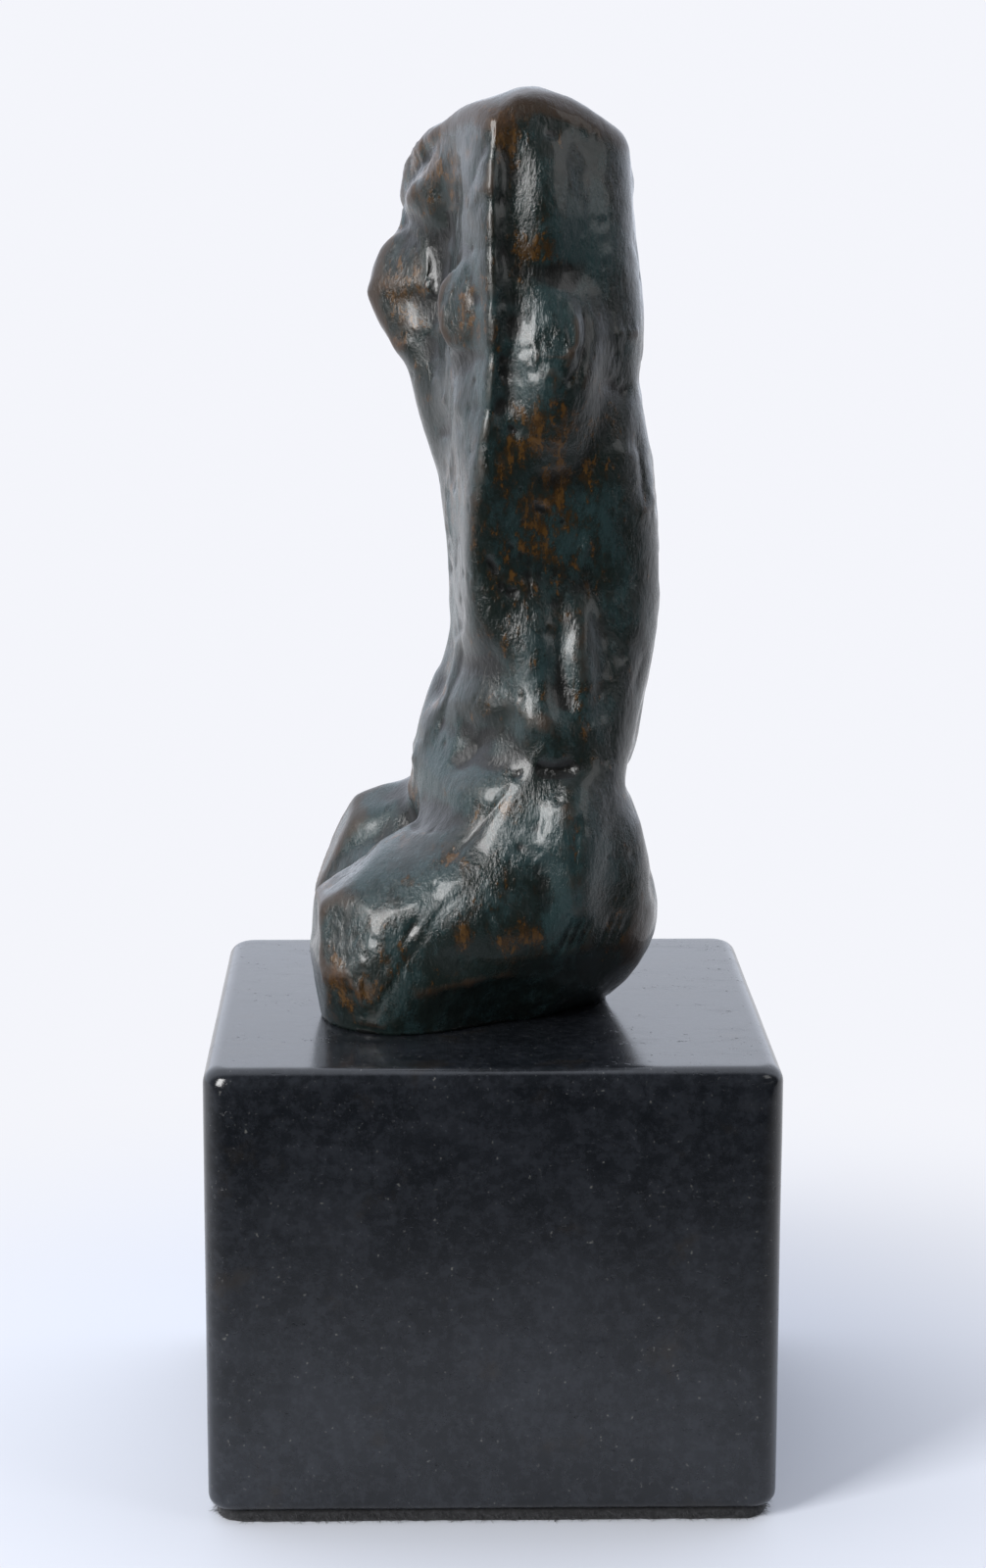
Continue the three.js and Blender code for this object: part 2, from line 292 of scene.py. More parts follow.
# %% Sections up the trunk
SECTIONS = {
    # height, centre, reach to the front, to the back, to the near side and to the far side
    "foot": (0, 0, 24, 21, 13.5, 21),
    "seat": (8, 1, 27, 20.5, 22.5, 27),
    "hips": (18, 2, 29, 23, 28.7, 30.5),
    "lap": (28, 3, 24, 20.5, 28.8, 30.5),
    "groin": (38, 5, 18, 16.3, 26.3, 28),
    "belly": (50, 7, 17.5, 19.0, 24.2, 23.5),
    "waist": (64, 10, 17.2, 18.3, 21.6, 20),
    "loins": (80, 12, 19, 18, 19.6, 19.5),
    "ribs": (96, 10, 18.4, 18, 21.2, 22),
    "breastbone": (112, 7, 16.2, 17.4, 22.5, 25.5),
    "chest": (128, 6, 15.6, 17.8, 23, 28),
    "armpits": (144, 5.5, 15.3, 16.4, 23, 29),
    "shoulders": (165, 5.5, 14, 15, 20.4, 28),
}
STATIONS = np.array(list(SECTIONS.values()), float)


def section_value(column, height):
    """A smooth curve through one column of the sections: cubic pieces whose slopes follow the neighbours."""
    levels, values = STATIONS[:, 0], STATIONS[:, column]
    height = np.clip(height, levels[0], levels[-1])
    slopes = np.gradient(values, levels)
    slopes[1:-1] = (values[2:] - values[:-2]) / (levels[2:] - levels[:-2])
    k = np.clip(np.searchsorted(levels, height, side="right") - 1, 0, len(levels) - 2)
    span = levels[k + 1] - levels[k]
    t = (height - levels[k]) / span
    start = (1 + 2 * t) * (1 - t) ** 2 * values[k] + t * (1 - t) ** 2 * span * slopes[k]
    end = t * t * (3 - 2 * t) * values[k + 1] + t * t * (t - 1) * span * slopes[k + 1]
    return start + end


def ease(value, low, high):
    """0 below low, 1 above high and a smooth rise between."""
    t = np.clip((value - low) / (high - low), 0, 1)
    return t * t * (3 - 2 * t)


def soft_min(a, b, blend):
    """The smaller of two distances, with the corner between them rounded over the blend's width."""
    share = np.clip(0.5 + 0.5 * (b - a) / blend, 0, 1)
    return b + (a - b) * share - blend * share * (1 - share)


def soft_max(a, b, blend):
    """The larger of two distances, with its corner rounded."""
    return -soft_min(-a, -b, blend)


print("sections", len(SECTIONS), "from", STATIONS[0, 0], "to", STATIONS[-1, 0], "mm")

# %% Masses
CHEST_TURN, HIP_TURN, THIGH_TURN = 22, 12, 3
MASSES = {
    # centre, half lengths forward, sideways and up, turn, lift of the forward end, blend
    "far_shoulder": ((-6, 21, 148), (10, 11, 10.5), CHEST_TURN, 15, 4),
    "neck": ((5, 4, 154), (10, 10, 8), CHEST_TURN, 0, 4.5),
    "neck_front": ((-1, 4, 152.5), (8, 10, 9.5), CHEST_TURN, 0, 4),
    "shoulder_crest": ((-5, 5, 146.5), (8.5, 12, 9.5), CHEST_TURN, 0, 5),
    "front_nodule": ((-13.2, 10, 143.5), (1.8, 3, 4.5), CHEST_TURN, 0, 1),
    "far_chest": ((-5.5, 11, 139), (8, 9, 10), CHEST_TURN, 0, 3.5),
    "far_breast": ((-11.5, 7, 128), (10.5, 9, 12.5), CHEST_TURN, -38, 4),
    "far_ribs": ((-3.5, 6, 113), (9.3, 9, 15), CHEST_TURN, -10, 6),
    "near_breast": ((-1.8, -14, 125), (7.2, 6, 10.5), CHEST_TURN, -28, 2.5),
    "near_ribs": ((2.5, -13, 106), (8, 7, 14), CHEST_TURN, -8, 4),
    "near_blade": ((17.3, -6, 124), (8, 8, 22), CHEST_TURN, 0, 4),
    "far_blade": ((12, 17, 129), (8.5, 8.5, 15), CHEST_TURN, 0, 3.5),
    "flank_bulge": ((10.4, -16.2, 117), (8.6, 9.8, 17), 0, 0, 4.5),
    "shoulder_swell": ((8, -15.4, 145), (7, 8.5, 16), 0, 0, 4),
    "front_band": ((4.5, -15.6, 65), (4, 5.5, 12), CHEST_TURN, 0, 3),
    "back_band": ((14.3, -16.7, 64), (3.6, 5.3, 13), CHEST_TURN, 0, 3),
    "waist_knot": ((12, -18.4, 53), (6.5, 5.0, 4.5), CHEST_TURN, 0, 5),
    "belly_round": ((-0.5, 1, 46), (10.4, 9.0, 16), CHEST_TURN, 0, 10),
    "near_hip": ((13.5, -17, 36), (10, 9, 13), HIP_TURN, 0, 7),
    "hip_lump": ((14.2, -21.4, 31), (5.5, 8.2, 15), 0, 0, 4),
    "hip_rim": ((23.2, -16, 25), (4.4, 6, 13), HIP_TURN, 0, 6),
    "far_hip": ((4, 18, 36), (12, 9, 13), HIP_TURN, 0, 8),
    "near_buttock": ((17, -5, 18.5), (12.5, 14, 14), HIP_TURN, 0, 8),
    "far_buttock": ((12.5, 17, 18), (13, 13, 15), HIP_TURN, 0, 5),
    "far_thigh": ((-13, 13.5, 22), (20, 11, 16.5), THIGH_TURN, 0, 4),
    "far_stump": ((-15, 10, 6), (14, 12, 14), THIGH_TURN, 0, 5),
    "near_thigh": ((-8, -11, 15), (28, 19, 18), THIGH_TURN, 0, 7),
    "near_stump": ((-16, -11, 4), (13.5, 14.8, 14), THIGH_TURN, 0, 8),
}
print("masses", len(MASSES))

# %% Flat faces and grooves
FACES = {
    # flat faces beaten onto a mass: a point on the plane, and the way it faces
    "far_breast": [
        ((-19.6, 2, 132.1), (-0.90, -0.12, 0.41)),
        ((-17.9, 2, 121.8), (-0.90, -0.12, -0.42)),
        ((-14.5, 0, 128), (-0.74, -0.66, -0.12)),
        ((-13, 0.5, 135), (-0.72, -0.58, 0.38)),
    ],
    "far_shoulder": [
        ((-6, 28.6, 148), (0.10, 0.95, 0.30)),
        ((-13, 22, 150), (-0.80, 0.35, 0.48)),
    ],
    "near_breast": [
        ((-5, -19.6, 127), (-0.66, -0.75, -0.03)),
        ((-3.6, -19.5, 133), (-0.72, -0.62, 0.31)),
    ],
    "far_thigh": [
        ((-28, 10, 26.4), (-0.91, -0.10, 0.40)),
        ((-24, 6, 28), (-0.67, -0.72, 0.15)),
        ((-22, 8, 33.5), (-0.40, -0.42, 0.81)),
    ],
    "near_thigh": [
        ((-14, -28.3, 16), (0.03, -0.99, 0.10)),
        ((-24, -12, 28.4), (-0.60, -0.10, 0.79)),
        ((-31.3, -14, 17), (-0.99, -0.12, 0.05)),
        ((-29, -16, 6), (-0.93, -0.15, -0.34)),
        ((-27, -23.8, 16), (-0.60, -0.78, 0.18)),
        ((5, -15, 0), (0.18, -0.66, -0.73)),
    ],
}
FACE_BLEND = 0.6
GROOVES = {
    # one end, the other end, radius at each, blend
    "between_thighs": ((-46, -1, 30), (-17, -1, 33), (13, 4), 5),
    "thigh_ends": ((-38, 0, 2), (-36, 0, 26), (6, 6), 4),
    "cleft": ((36, 9, 2), (31, 8, 35), (5, 2), 4),
    "spine": ((32, 7, 40), (24, 7, 158), (5, 4.5), 6),
    "midline": ((-14.5, -4, 123), (-11, -3, 60), (3.5, 3), 4),
    "armpit": ((-13.5, -17, 154), (-11, -23, 114), (5, 4), 3.5),
}
print("flat faces on", len(FACES), "masses, grooves", len(GROOVES))

# %% Distances
TINY = 1e-9


def turned(across, depth, angle):
    """Lengths ahead of and to the near side of a point, for a body that faces -X turned by an angle."""
    ahead = -across * np.cos(angle) - depth * np.sin(angle)
    aside = across * np.sin(angle) - depth * np.cos(angle)
    return ahead, aside


def mass_distance(points, centre, size, turn, tip):
    """About how far outside an ellipsoid each point lies: its scaled radius less 1, over its steepness."""
    x, y, up = np.moveaxis(points - np.array(centre, float), -1, 0)
    ahead, aside = turned(x, y, math.radians(turn))
    c, s = math.cos(math.radians(tip)), math.sin(math.radians(tip))
    own = np.stack([ahead * c + up * s, aside, up * c - ahead * s], -1)
    size = np.array(size, float)
    near = np.linalg.norm(own / size, axis=-1) + TINY
    steep = np.linalg.norm(own / size**2, axis=-1) + TINY
    return near * (near - 1) / steep


def groove_distance(points, start, end, radii):
    """How far outside a capsule each point lies; its radius runs evenly from one end to the other."""
    start = np.array(start, float)
    along = np.array(end, float) - start
    away = points - start
    t = np.clip(away @ along / (along @ along), 0, 1)
    return np.linalg.norm(away - t[..., None] * along, axis=-1) - (radii[0] + (radii[1] - radii[0]) * t)


spine_line = GROOVES["spine"][:3]
print("inside the spine's groove", groove_distance(np.array(spine_line[:1], float), *spine_line), "mm")

# %% The trunk and its crown
# each step is an amount, and the two heights between which it comes in
TURN_STEPS = [(15, 14, 0), (-8, 36, 48), (4, 54, 66), (12, 80, 122)]
RIDGE_STEPS = [(-0.9, 42, 49), (0.8, 52, 60), (11.0, 64, 86)]
RIDGE_CORNER, BACK_CORNER, SOFT_CORNER = 2.5, 3.4, 2.45
INNERMOST, CENTRE_DEPTH = 1e-6, -10.0
TOP_LEVEL = 165.7
TOP_BLEND, TOP_SCALE = 2.2, 0.9
FAR_SLOPE, FAR_START = 0.3, -6
BACK_SLOPE, BACK_START = 0.70, 10.8
FRONT_SLOPE, FRONT_START, FRONT_RUN = 0.45, 4.6, 12
NEAR_ROLL, NEAR_START = 0.022, -12
CROWN_BLEND = 7


def stepped(start, steps, height):
    """A starting value, plus each step's amount eased in between its two heights."""
    return start + sum(amount * ease(height, low, high) for amount, low, high in steps)


def trunk_distance(points):
    """Outside the trunk: each level is a turned oval whose four quarters have their own reach and corner."""
    height = points[..., 2]
    turn = np.radians(stepped(HIP_TURN, TURN_STEPS, height))
    ahead, aside = turned(points[..., 0] - section_value(1, height), points[..., 1], turn)
    reach = np.where(ahead > 0, section_value(2, height), section_value(3, height))
    width = np.where(aside > 0, section_value(4, height), section_value(5, height))
    ridge = stepped(RIDGE_CORNER, RIDGE_STEPS, height)
    corner = np.where(aside > 0, np.where(ahead > 0, ridge, BACK_CORNER), SOFT_CORNER)
    oval = ((np.abs(ahead) / reach) ** corner + (np.abs(aside) / width) ** corner) ** (1 / corner)
    radius = np.hypot(ahead, aside)
    return np.where(radius < INNERMOST, CENTRE_DEPTH, radius - radius / np.maximum(oval, INNERMOST))


def top_distance(points):
    """Above the crown: a level that slopes to the far side, back and front, and rolls over the near side."""
    x, y, height = np.moveaxis(points, -1, 0)
    far = FAR_SLOPE * np.maximum(y - FAR_START, 0)
    back = BACK_SLOPE * soft_max(x - BACK_START, 0, CROWN_BLEND)
    front = FRONT_SLOPE * soft_max(np.minimum(FRONT_START - x, FRONT_RUN), 0, CROWN_BLEND)
    near = NEAR_ROLL * np.maximum(NEAR_START - y, 0) ** 2
    return (height - (TOP_LEVEL - far - back - front - near)) * TOP_SCALE


print("crown at", TOP_LEVEL, "mm, shoulders turned", stepped(HIP_TURN, TURN_STEPS, TOP_LEVEL), "degrees")


# %% The whole field
def torso_field(points):
    """Negative inside the figure: the trunk under its top, with the masses joined on and the grooves cut."""
    distance = soft_max(trunk_distance(points), top_distance(points), TOP_BLEND)
    for name, (centre, size, turn, tip, blend) in MASSES.items():
        mass = mass_distance(points, centre, size, turn, tip)
        for place, facing in FACES.get(name, []):
            mass = soft_max(mass, (points - np.array(place, float)) @ np.array(facing), FACE_BLEND)
        distance = soft_min(distance, mass, blend)
    for start, end, radii, blend in GROOVES.values():
        distance = soft_max(distance, -groove_distance(points, start, end, radii), blend)
    return distance


print("field at the waist's middle", round(float(torso_field(np.array([[10.0, 0, 64]]))[0]), 2))

# %% [markdown]
# ## From field to surface
# Marching cubes would mesh any field, but its triangles follow the cubes. Rays cast out from a spine give
# a clean grid instead: u goes round the figure, v goes up it, and each ray stops where the field turns
# positive. Low rays lift a little to reach over the thighs, and the last ones fan out over the top.

# %% Cast the grid
AROUND, RINGS_SIDE, RINGS_TOP = 360, 222, 50
FAN_HEIGHT = 142
LAP_SHARE, LAP_HEIGHT, LAP_LIFT = 0.16, 6, 28
LEVEL_SHARE, LEVEL_HEIGHT = 0.55, 70
RAY_REACH, RAY_END, RAY_STEPS, HALVINGS = 60.0, 1.5, 40, 13
CROWDING, CROWD_ANGLE = 0.35, math.radians(70)


def torso_rays():
    """Origins up the spine and directions round it: the grid's two parameters are angle and ring."""
    share = np.linspace(0, 1, RINGS_SIDE)
    stops = [0, LAP_SHARE, LEVEL_SHARE, 1]
    height = np.interp(share, stops, [0, LAP_HEIGHT, LEVEL_HEIGHT, FAN_HEIGHT])
    lift = np.radians(np.interp(share, stops, [0, LAP_LIFT, 0, 0]))
    fan = np.radians(np.linspace(0, 90, RINGS_TOP + 1)[1:])
    height = np.concatenate([height, np.full(RINGS_TOP, float(FAN_HEIGHT))])
    even = np.linspace(0, 2 * np.pi, AROUND, endpoint=False)
    crowded = even - CROWDING * np.sin(even - CROWD_ANGLE)
    angle, lift = np.meshgrid(crowded, np.concatenate([lift, fan]))
    level = np.cos(lift)
    direction = np.stack([-np.cos(angle) * level, -np.sin(angle) * level, np.sin(lift)], -1)
    origin = np.stack([section_value(1, height), 0 * height, height], -1)[:, None, :]
    return origin, direction


def cast(origin, direction):
    """Step in from outside until the field turns negative, then halve the last step again and again."""
    inner = np.zeros(direction.shape[:2])
    outer = np.full_like(inner, RAY_REACH)
    found = np.zeros(inner.shape, bool)
    steps = np.linspace(RAY_REACH, RAY_END, RAY_STEPS)
    for before, reach in zip(steps, steps[1:]):
        hit = ~found & (torso_field(origin + direction * reach) < 0)
        inner[hit], outer[hit] = reach, before
        found |= hit
    for _ in range(HALVINGS):
        middle = (inner + outer) / 2
        inside = torso_field(origin + direction * middle[..., None]) < 0
        inner = np.where(inside, middle, inner)
        outer = np.where(inside, outer, middle)
    return origin + direction * ((inner + outer) / 2)[..., None]


def grid_normals(grid):
    """Outward directions: the cross product of the steps round and up, with the seam wrapped."""
    around = np.roll(grid, -1, 1) - np.roll(grid, 1, 1)
    normal = np.cross(around, np.gradient(grid, axis=0))
    normal[-1] = (0, 0, 1)
    return normal / (np.linalg.norm(normal, axis=-1, keepdims=True) + TINY)


torso_form = cast(*torso_rays())
form_normals = grid_normals(torso_form)
print("torso grid", torso_form.shape[:2], "top", round(float(torso_form[..., 2].max()), 2), "mm")

# %% [markdown]
# ## The modelling
# The surface carries the marks of its making: thumb dabs, ridges left between two strokes, creases where
# clay was folded, pits in the cast. Each mark is a line drawn in a side view and pressed through onto
# that side, with a width and a height in millimetres: raised if positive, cut in if negative. Swells are
# soft and broad, creases are narrow with a crisp middle.

# %% Swells drawn on the sides
SIDES = {
    # the direction each side faces, and which coordinate is drawn across; the camera sees the near side
    "near": ((0, -1, 0), 0),
    "far": ((0, 1, 0), 0),
    "front": ((-1, 0, 0), 1),
    "back": ((1, 0, 0), 1),
}
SWELLS = {
    # side, width, height, then points across and up
    "ridge_valley": ("near", 3.2, -1.5, [
        (1.2, 161), (3.2, 152), (3.4, 143), (3.2, 136), (3.8, 130), (3.2, 122), (2.4, 114), (1.6, 104),
    ]),
    "bulge_shade": ("near", 2.4, -0.3, [(3.4, 136), (9, 134.4), (16, 131.6)]),
    "bulge_crown": ("near", 3.2, 0.2, [(9, 128), (9, 120), (8.6, 112), (8, 106)]),
    "back_roll": ("near", 1.6, 0.4, [(18, 128), (18.4, 122), (17.2, 117), (15, 112)]),
    "loin_dab": ("near", 3.4, -0.3, [(9, 101), (10, 91)]),
    "front_cord": ("near", 4.0, 1.7, [(8.8, 77), (9, 69), (8.6, 60), (8.2, 52)]),
    "front_cord_shade": ("near", 2.4, -0.3, [(0, 71), (0.8, 64), (2.2, 57), (3.4, 51)]),
    "cord_valley": ("near", 2.0, -0.5, [(11.6, 75), (11.8, 64), (11.2, 55)]),
    "back_cord": ("near", 2.2, 0.9, [(15.6, 76), (15.8, 68), (16.2, 60), (16.8, 55)]),
    "notch_bed": ("near", 2.0, -0.8, [(7, 48), (11.4, 47.4), (15.6, 48)]),
    "hip_crown": ("near", 3.4, 0.5, [(12.6, 43.6), (11, 38), (8, 33)]),
    "shoulder_dent": ("front", 3.0, -1.3, [(-2, 154), (6, 150), (13, 147)]),
    "shoulder_bump": ("front", 2.4, 1.0, [(0, 147.5), (8, 144)]),
    "chest_hollow": ("front", 5.0, -2.6, [(-9, 151), (-7, 142), (-3, 133), (-1, 122)]),
    "seat_under": ("near", 4.5, -0.7, [(-4, 9.6), (2, 8.6), (9, 9), (17, 9.6), (25, 10.2)]),
}
# nicks across the chest's edge: height, how far it bends up in the middle, depth
RIDGE_NICKS = [
    (154, 1.1, -0.25), (146, -0.8, -0.35), (137, 1.2, -0.2),
    (129.5, -1.0, -0.3), (119, 1.0, -0.25), (111, -1.1, -0.3),
]
for up, bend, depth in RIDGE_NICKS:
    SWELLS[f"ridge_nick_{up:g}"] = ("near", 1.6, depth, [(-4, up), (0.5, up + bend), (3, up - bend)])
print("swells", len(SWELLS))

# %% Creases drawn on the sides
CREASES = {
    # side, width, height, then points across and up
    "top_edge": ("near", 1.0, 0.4, [
        (0, 161.6), (4.4, 163), (8.8, 162), (12, 160), (15, 159), (18, 157.2), (20, 154.6),
    ]),
    "shoulder_pit": ("near", 0.6, -0.5, [(8.8, 157.6), (10.4, 157.2), (12, 157.7)]),
    "shoulder_pit_lip": ("near", 0.5, 0.15, [(8.6, 156.2), (10.4, 155.8), (12.2, 156.2)]),
    "bulge_lip": ("near", 1.2, 0.3, [(4.4, 131.4), (8, 130.4), (11.3, 129.2), (14.4, 127.6)]),
    "bulge_roll": ("near", 0.8, 0.7, [
        (13.8, 127.4), (14.3, 124.6), (14.2, 121.6), (12.9, 118.4), (11.6, 117),
    ]),
    "bulge_crease": ("near", 0.8, -0.6, [(15.4, 128), (16, 125), (16, 121.6), (14.8, 117.8), (13.4, 115.2)]),
    "rib_pit": ("near", 0.7, -0.5, [(1.4, 117), (2.6, 116.2), (3, 115)]),
    "rib_nick": ("near", 0.7, -0.5, [(3, 107.6), (4.4, 106)]),
    "loin_nick": ("near", 0.6, -0.4, [(7.4, 93.6), (9.4, 92.4)]),
    "loin_fold": ("near", 0.8, 0.25, [(8.4, 95.6), (10.6, 94), (11.4, 91.6)]),
    "loin_cut": ("near", 0.7, -0.5, [(-1, 84.8), (0.2, 83), (0.9, 81.2)]),
    "loin_cut_low": ("near", 0.6, -0.5, [(2.2, 78.8), (3.4, 78.2), (4.8, 78.6)]),
    "loin_lip": ("near", 0.8, 0.25, [(0, 86.8), (2, 82.4), (4.6, 80.4)]),
    "loin_scar": ("near", 0.8, 0.4, [(15.6, 84.4), (17.4, 87.6)]),
    "cord_seam": ("near", 0.6, -0.2, [(8.2, 58), (7.9, 49.6)]),
    "knot_lip": ("near", 0.9, 0.2, [(10.2, 54.4), (12.4, 52), (14.3, 51), (16.6, 53)]),
    "waist_notch": ("near", 0.8, -0.4, [(7.4, 48.4), (11.4, 47.5), (15.2, 48.2)]),
    "notch_nail": ("near", 0.7, -0.8, [(4.2, 47.2), (4.6, 46.4)]),
    "hip_knob": ("near", 0.9, 0.4, [(8.5, 33), (8.9, 32.6)]),
    "hip_seam": ("near", 0.6, -0.45, [(15.2, 40.5), (14.9, 36.8), (14.6, 33), (14.7, 29)]),
    "groin_crease": ("near", 0.7, -0.3, [
        (4.4, 46.4), (2.2, 43), (-0.4, 39.4), (-3.6, 35.4), (-6.9, 32), (-10.6, 29.8),
    ]),
    "thigh_fold": ("near", 0.6, -0.2, [
        (-2.2, 29), (-5.4, 26.2), (-8.9, 23.6), (-11.8, 19), (-15, 14.4), (-18.7, 8), (-21, 3),
    ]),
    "thigh_fold_lip": ("near", 1.0, 0.06, [
        (-4.6, 28.6), (-8, 26.2), (-11, 22.6), (-14, 18), (-17.2, 13.4), (-20.6, 7.4),
    ]),
    "thigh_nick": ("near", 0.7, -0.5, [(-13, 21.4), (-15.2, 18.6)]),
    "seat_edge": ("near", 1.8, 0.25, [(-3, 15.2), (0.5, 14.4), (7.9, 15), (16.1, 15.6), (24.3, 16)]),
    "thigh_end_rim": ("near", 0.9, 0.5, [(-28.4, 11.6), (-25.6, 10.8), (-22.8, 8.2), (-22.6, 4.6)]),
    "foot_bead": ("near", 0.8, 0.5, [(-24, 2.4), (-20.6, 2.2), (-18, 1.6)]),
    "crescent_cut": ("near", 0.8, -0.9, [(-6.4, 109), (-7, 106.4), (-8.6, 103.6)]),
    "breast_rim": ("near", 0.9, 0.35, [
        (-2.4, 137), (-4.6, 134.6), (-6.2, 131.4), (-7.8, 127.8), (-8.5, 123.4), (-7.4, 120.4),
    ]),
    "rib_ridge": ("near", 0.9, 0.5, [(-8.2, 121), (-7.2, 117), (-6.7, 113), (-6.5, 108)]),
    "shoulder_facet": ("front", 1.2, 0.6, [(-5, 159), (4, 155), (13, 153), (20, 149)]),
    "shoulder_break": ("front", 1.0, -0.6, [(-3, 156), (6, 151.6), (16, 148)]),
    "chest_fold": ("front", 1.0, -0.7, [(12, 147), (8, 141), (2, 138)]),
}
print("creases", len(CREASES))

# %% [markdown]
# ## Presses, pits and the hidden sides
# A thumb or a flat tool leaves small planes, so the surface is pressed flat in hundreds of places: what
# stands above a slightly tilted plane is pushed down onto it. The photograph shows one side, so the others
# get plainer creases of the same kinds, drawn by a seeded random hand. Pits come from the casting.

# %% A soft noise
RANDOM = np.random.default_rng(41)
LATTICE = RANDOM.uniform(-1, 1, (32, 32, 32))


def soft_noise(points, size):
    """Random numbers on a cubic lattice of the given spacing, blended smoothly between its corners."""
    cell = points / size
    low = np.floor(cell).astype(int)
    part = cell - low
    part = part * part * (3 - 2 * part)
    total = np.zeros(points.shape[:-1])
    for corner in np.ndindex(2, 2, 2):
        index = (low + corner) % LATTICE.shape[0]
        share = np.prod(np.where(corner, part, 1 - part), axis=-1)
        total += share * LATTICE[index[..., 0], index[..., 1], index[..., 2]]
    return total


print("noise lattice", LATTICE.shape)

# %% Marks along a line
SIDE_TURN = (0.05, 0.4)
CREST_ROUND = 0.25
TAPER_LOW, TAPER_SHARE = 0.35, 0.2


def side_share(normals, side):
    """How much each point belongs to a side: 1 where it faces that way, 0 where it turns from it."""
    return ease(normals @ np.array(SIDES[side][0], float), *SIDE_TURN)


def line_distance(across, up, line):
    """Distance from each point to a bent line, and how far along the line (0 to 1) the nearest place is."""
    line = np.array(line, float)
    lengths = np.linalg.norm(np.diff(line, axis=0), axis=1)
    done = np.concatenate([[0], np.cumsum(lengths)])
    best = np.full(across.shape, np.inf)
    along = np.zeros(across.shape)
    for k, length in enumerate(lengths):
        run = (line[k + 1] - line[k]) / length
        t = np.clip((across - line[k, 0]) * run[0] + (up - line[k, 1]) * run[1], 0, length)
        away = np.hypot(across - line[k, 0] - t * run[0], up - line[k, 1] - t * run[1])
        nearer = away < best
        best = np.where(nearer, away, best)
        along = np.where(nearer, (done[k] + t) / done[-1], along)
    return best, along


def mark_height(grid, normals, side, width, height, line, crisp=True):
    """A mark's height: a crisp one dies away evenly from its line, a soft one as a bell curve."""
    away, along = line_distance(grid[..., SIDES[side][1]], grid[..., 2], line)
    taper = TAPER_LOW + (1 - TAPER_LOW) * ease(np.minimum(along, 1 - along), 0, TAPER_SHARE)
    if crisp:
        fall = np.sqrt((away / width) ** 2 + CREST_ROUND**2) - CREST_ROUND
    else:
        fall = (away / width) ** 2
    return height * np.exp(-fall) * taper * side_share(normals, side)


print("a mark's ends keep", TAPER_LOW, "of its height")

# %% Strokes on the hidden sides
HIDDEN_SIDES = ["far", "front", "back"]
HIDDEN_COUNT = 60
HIDDEN_ACROSS, HIDDEN_UP = (-20, 20), (12, 152)
HIDDEN_RUN, HIDDEN_BEND = (3.0, 9.0), 2.0
HIDDEN_WIDTH, HIDDEN_HEIGHTS = (0.8, 1.8), [-0.6, -0.4, 0.4, 0.5]


def random_creases():
    """Short strokes on the three hidden sides, mostly upright, some raised and some cut."""
    creases = []
    for _ in range(HIDDEN_COUNT):
        side = RANDOM.choice(HIDDEN_SIDES)
        start = np.array([RANDOM.uniform(*HIDDEN_ACROSS), RANDOM.uniform(*HIDDEN_UP)])
        run = RANDOM.normal(0, HIDDEN_RUN)
        bend = RANDOM.normal(0, HIDDEN_BEND, 2)
        line = [start, start + run / 2 + bend, start + run]
        creases.append((side, RANDOM.uniform(*HIDDEN_WIDTH), RANDOM.choice(HIDDEN_HEIGHTS), line))
    return creases


print("hidden strokes", HIDDEN_COUNT)

# %% Broken places, pits and presses
PRESS_COUNT, PRESS_SIZE, PRESS_DEPTH, PRESS_TILT = 320, (3.0, 8.0), (0.05, 0.25), 0.08
PRESS_MARGINS, PRESS_EDGE, PRESS_SPARED = (2, 8), 0.5, 0.85
PIT_COUNT, PIT_SIZE, PIT_DEPTH, PIT_MARGIN = 130, (0.4, 0.8), 0.25, 6
BROKEN_SIZE, BROKEN_SHIFT = 1.7, 7
CREST_LEVEL, CREST_DROP = 0.5, 1.6
BROKEN = {
    # places where the skin is broken up: side, middle across and up, half width, half height, roughness
    "bulge": ("near", 10.5, 120, 6.5, 9, 0.36),
    "knot": ("near", 13.5, 55, 4, 5, 0.14),
    "hip": ("near", 10.5, 40, 4, 6, 0.24),
    "thigh_end": ("near", -25, 8, 4, 6, 0.30),
    "thigh_front": ("near", -25, 17, 4, 5, 0.16),
    "loin": ("near", 3, 82, 5, 8, 0.22),
    "far_shoulder": ("front", 8, 153, 11, 5, 0.45),
}


def broken_height(grid, normals, side, across, up, wide, tall, rough):
    """Sharp-crested noise inside a soft oval: a level less the size of a noise that crosses zero."""
    place = ((grid[..., SIDES[side][1]] - across) / wide) ** 2 + ((grid[..., 2] - up) / tall) ** 2
    crests = CREST_LEVEL - CREST_DROP * np.abs(soft_noise(grid + BROKEN_SHIFT, BROKEN_SIZE))
    return rough * crests * np.exp(-(place**2)) * side_share(normals, side)


def pit_height(grid):
    """Small round holes of the casting."""
    total = np.zeros(grid.shape[:2])
    rows = RANDOM.integers(PIT_MARGIN, grid.shape[0] - PIT_MARGIN, PIT_COUNT)
    columns = RANDOM.integers(0, grid.shape[1], PIT_COUNT)
    sizes = RANDOM.uniform(*PIT_SIZE, PIT_COUNT)
    for row, column, size in zip(rows, columns, sizes):
        away = ((grid - grid[row, column]) ** 2).sum(-1) / size**2
        total -= PIT_DEPTH * np.exp(-away)
    return total


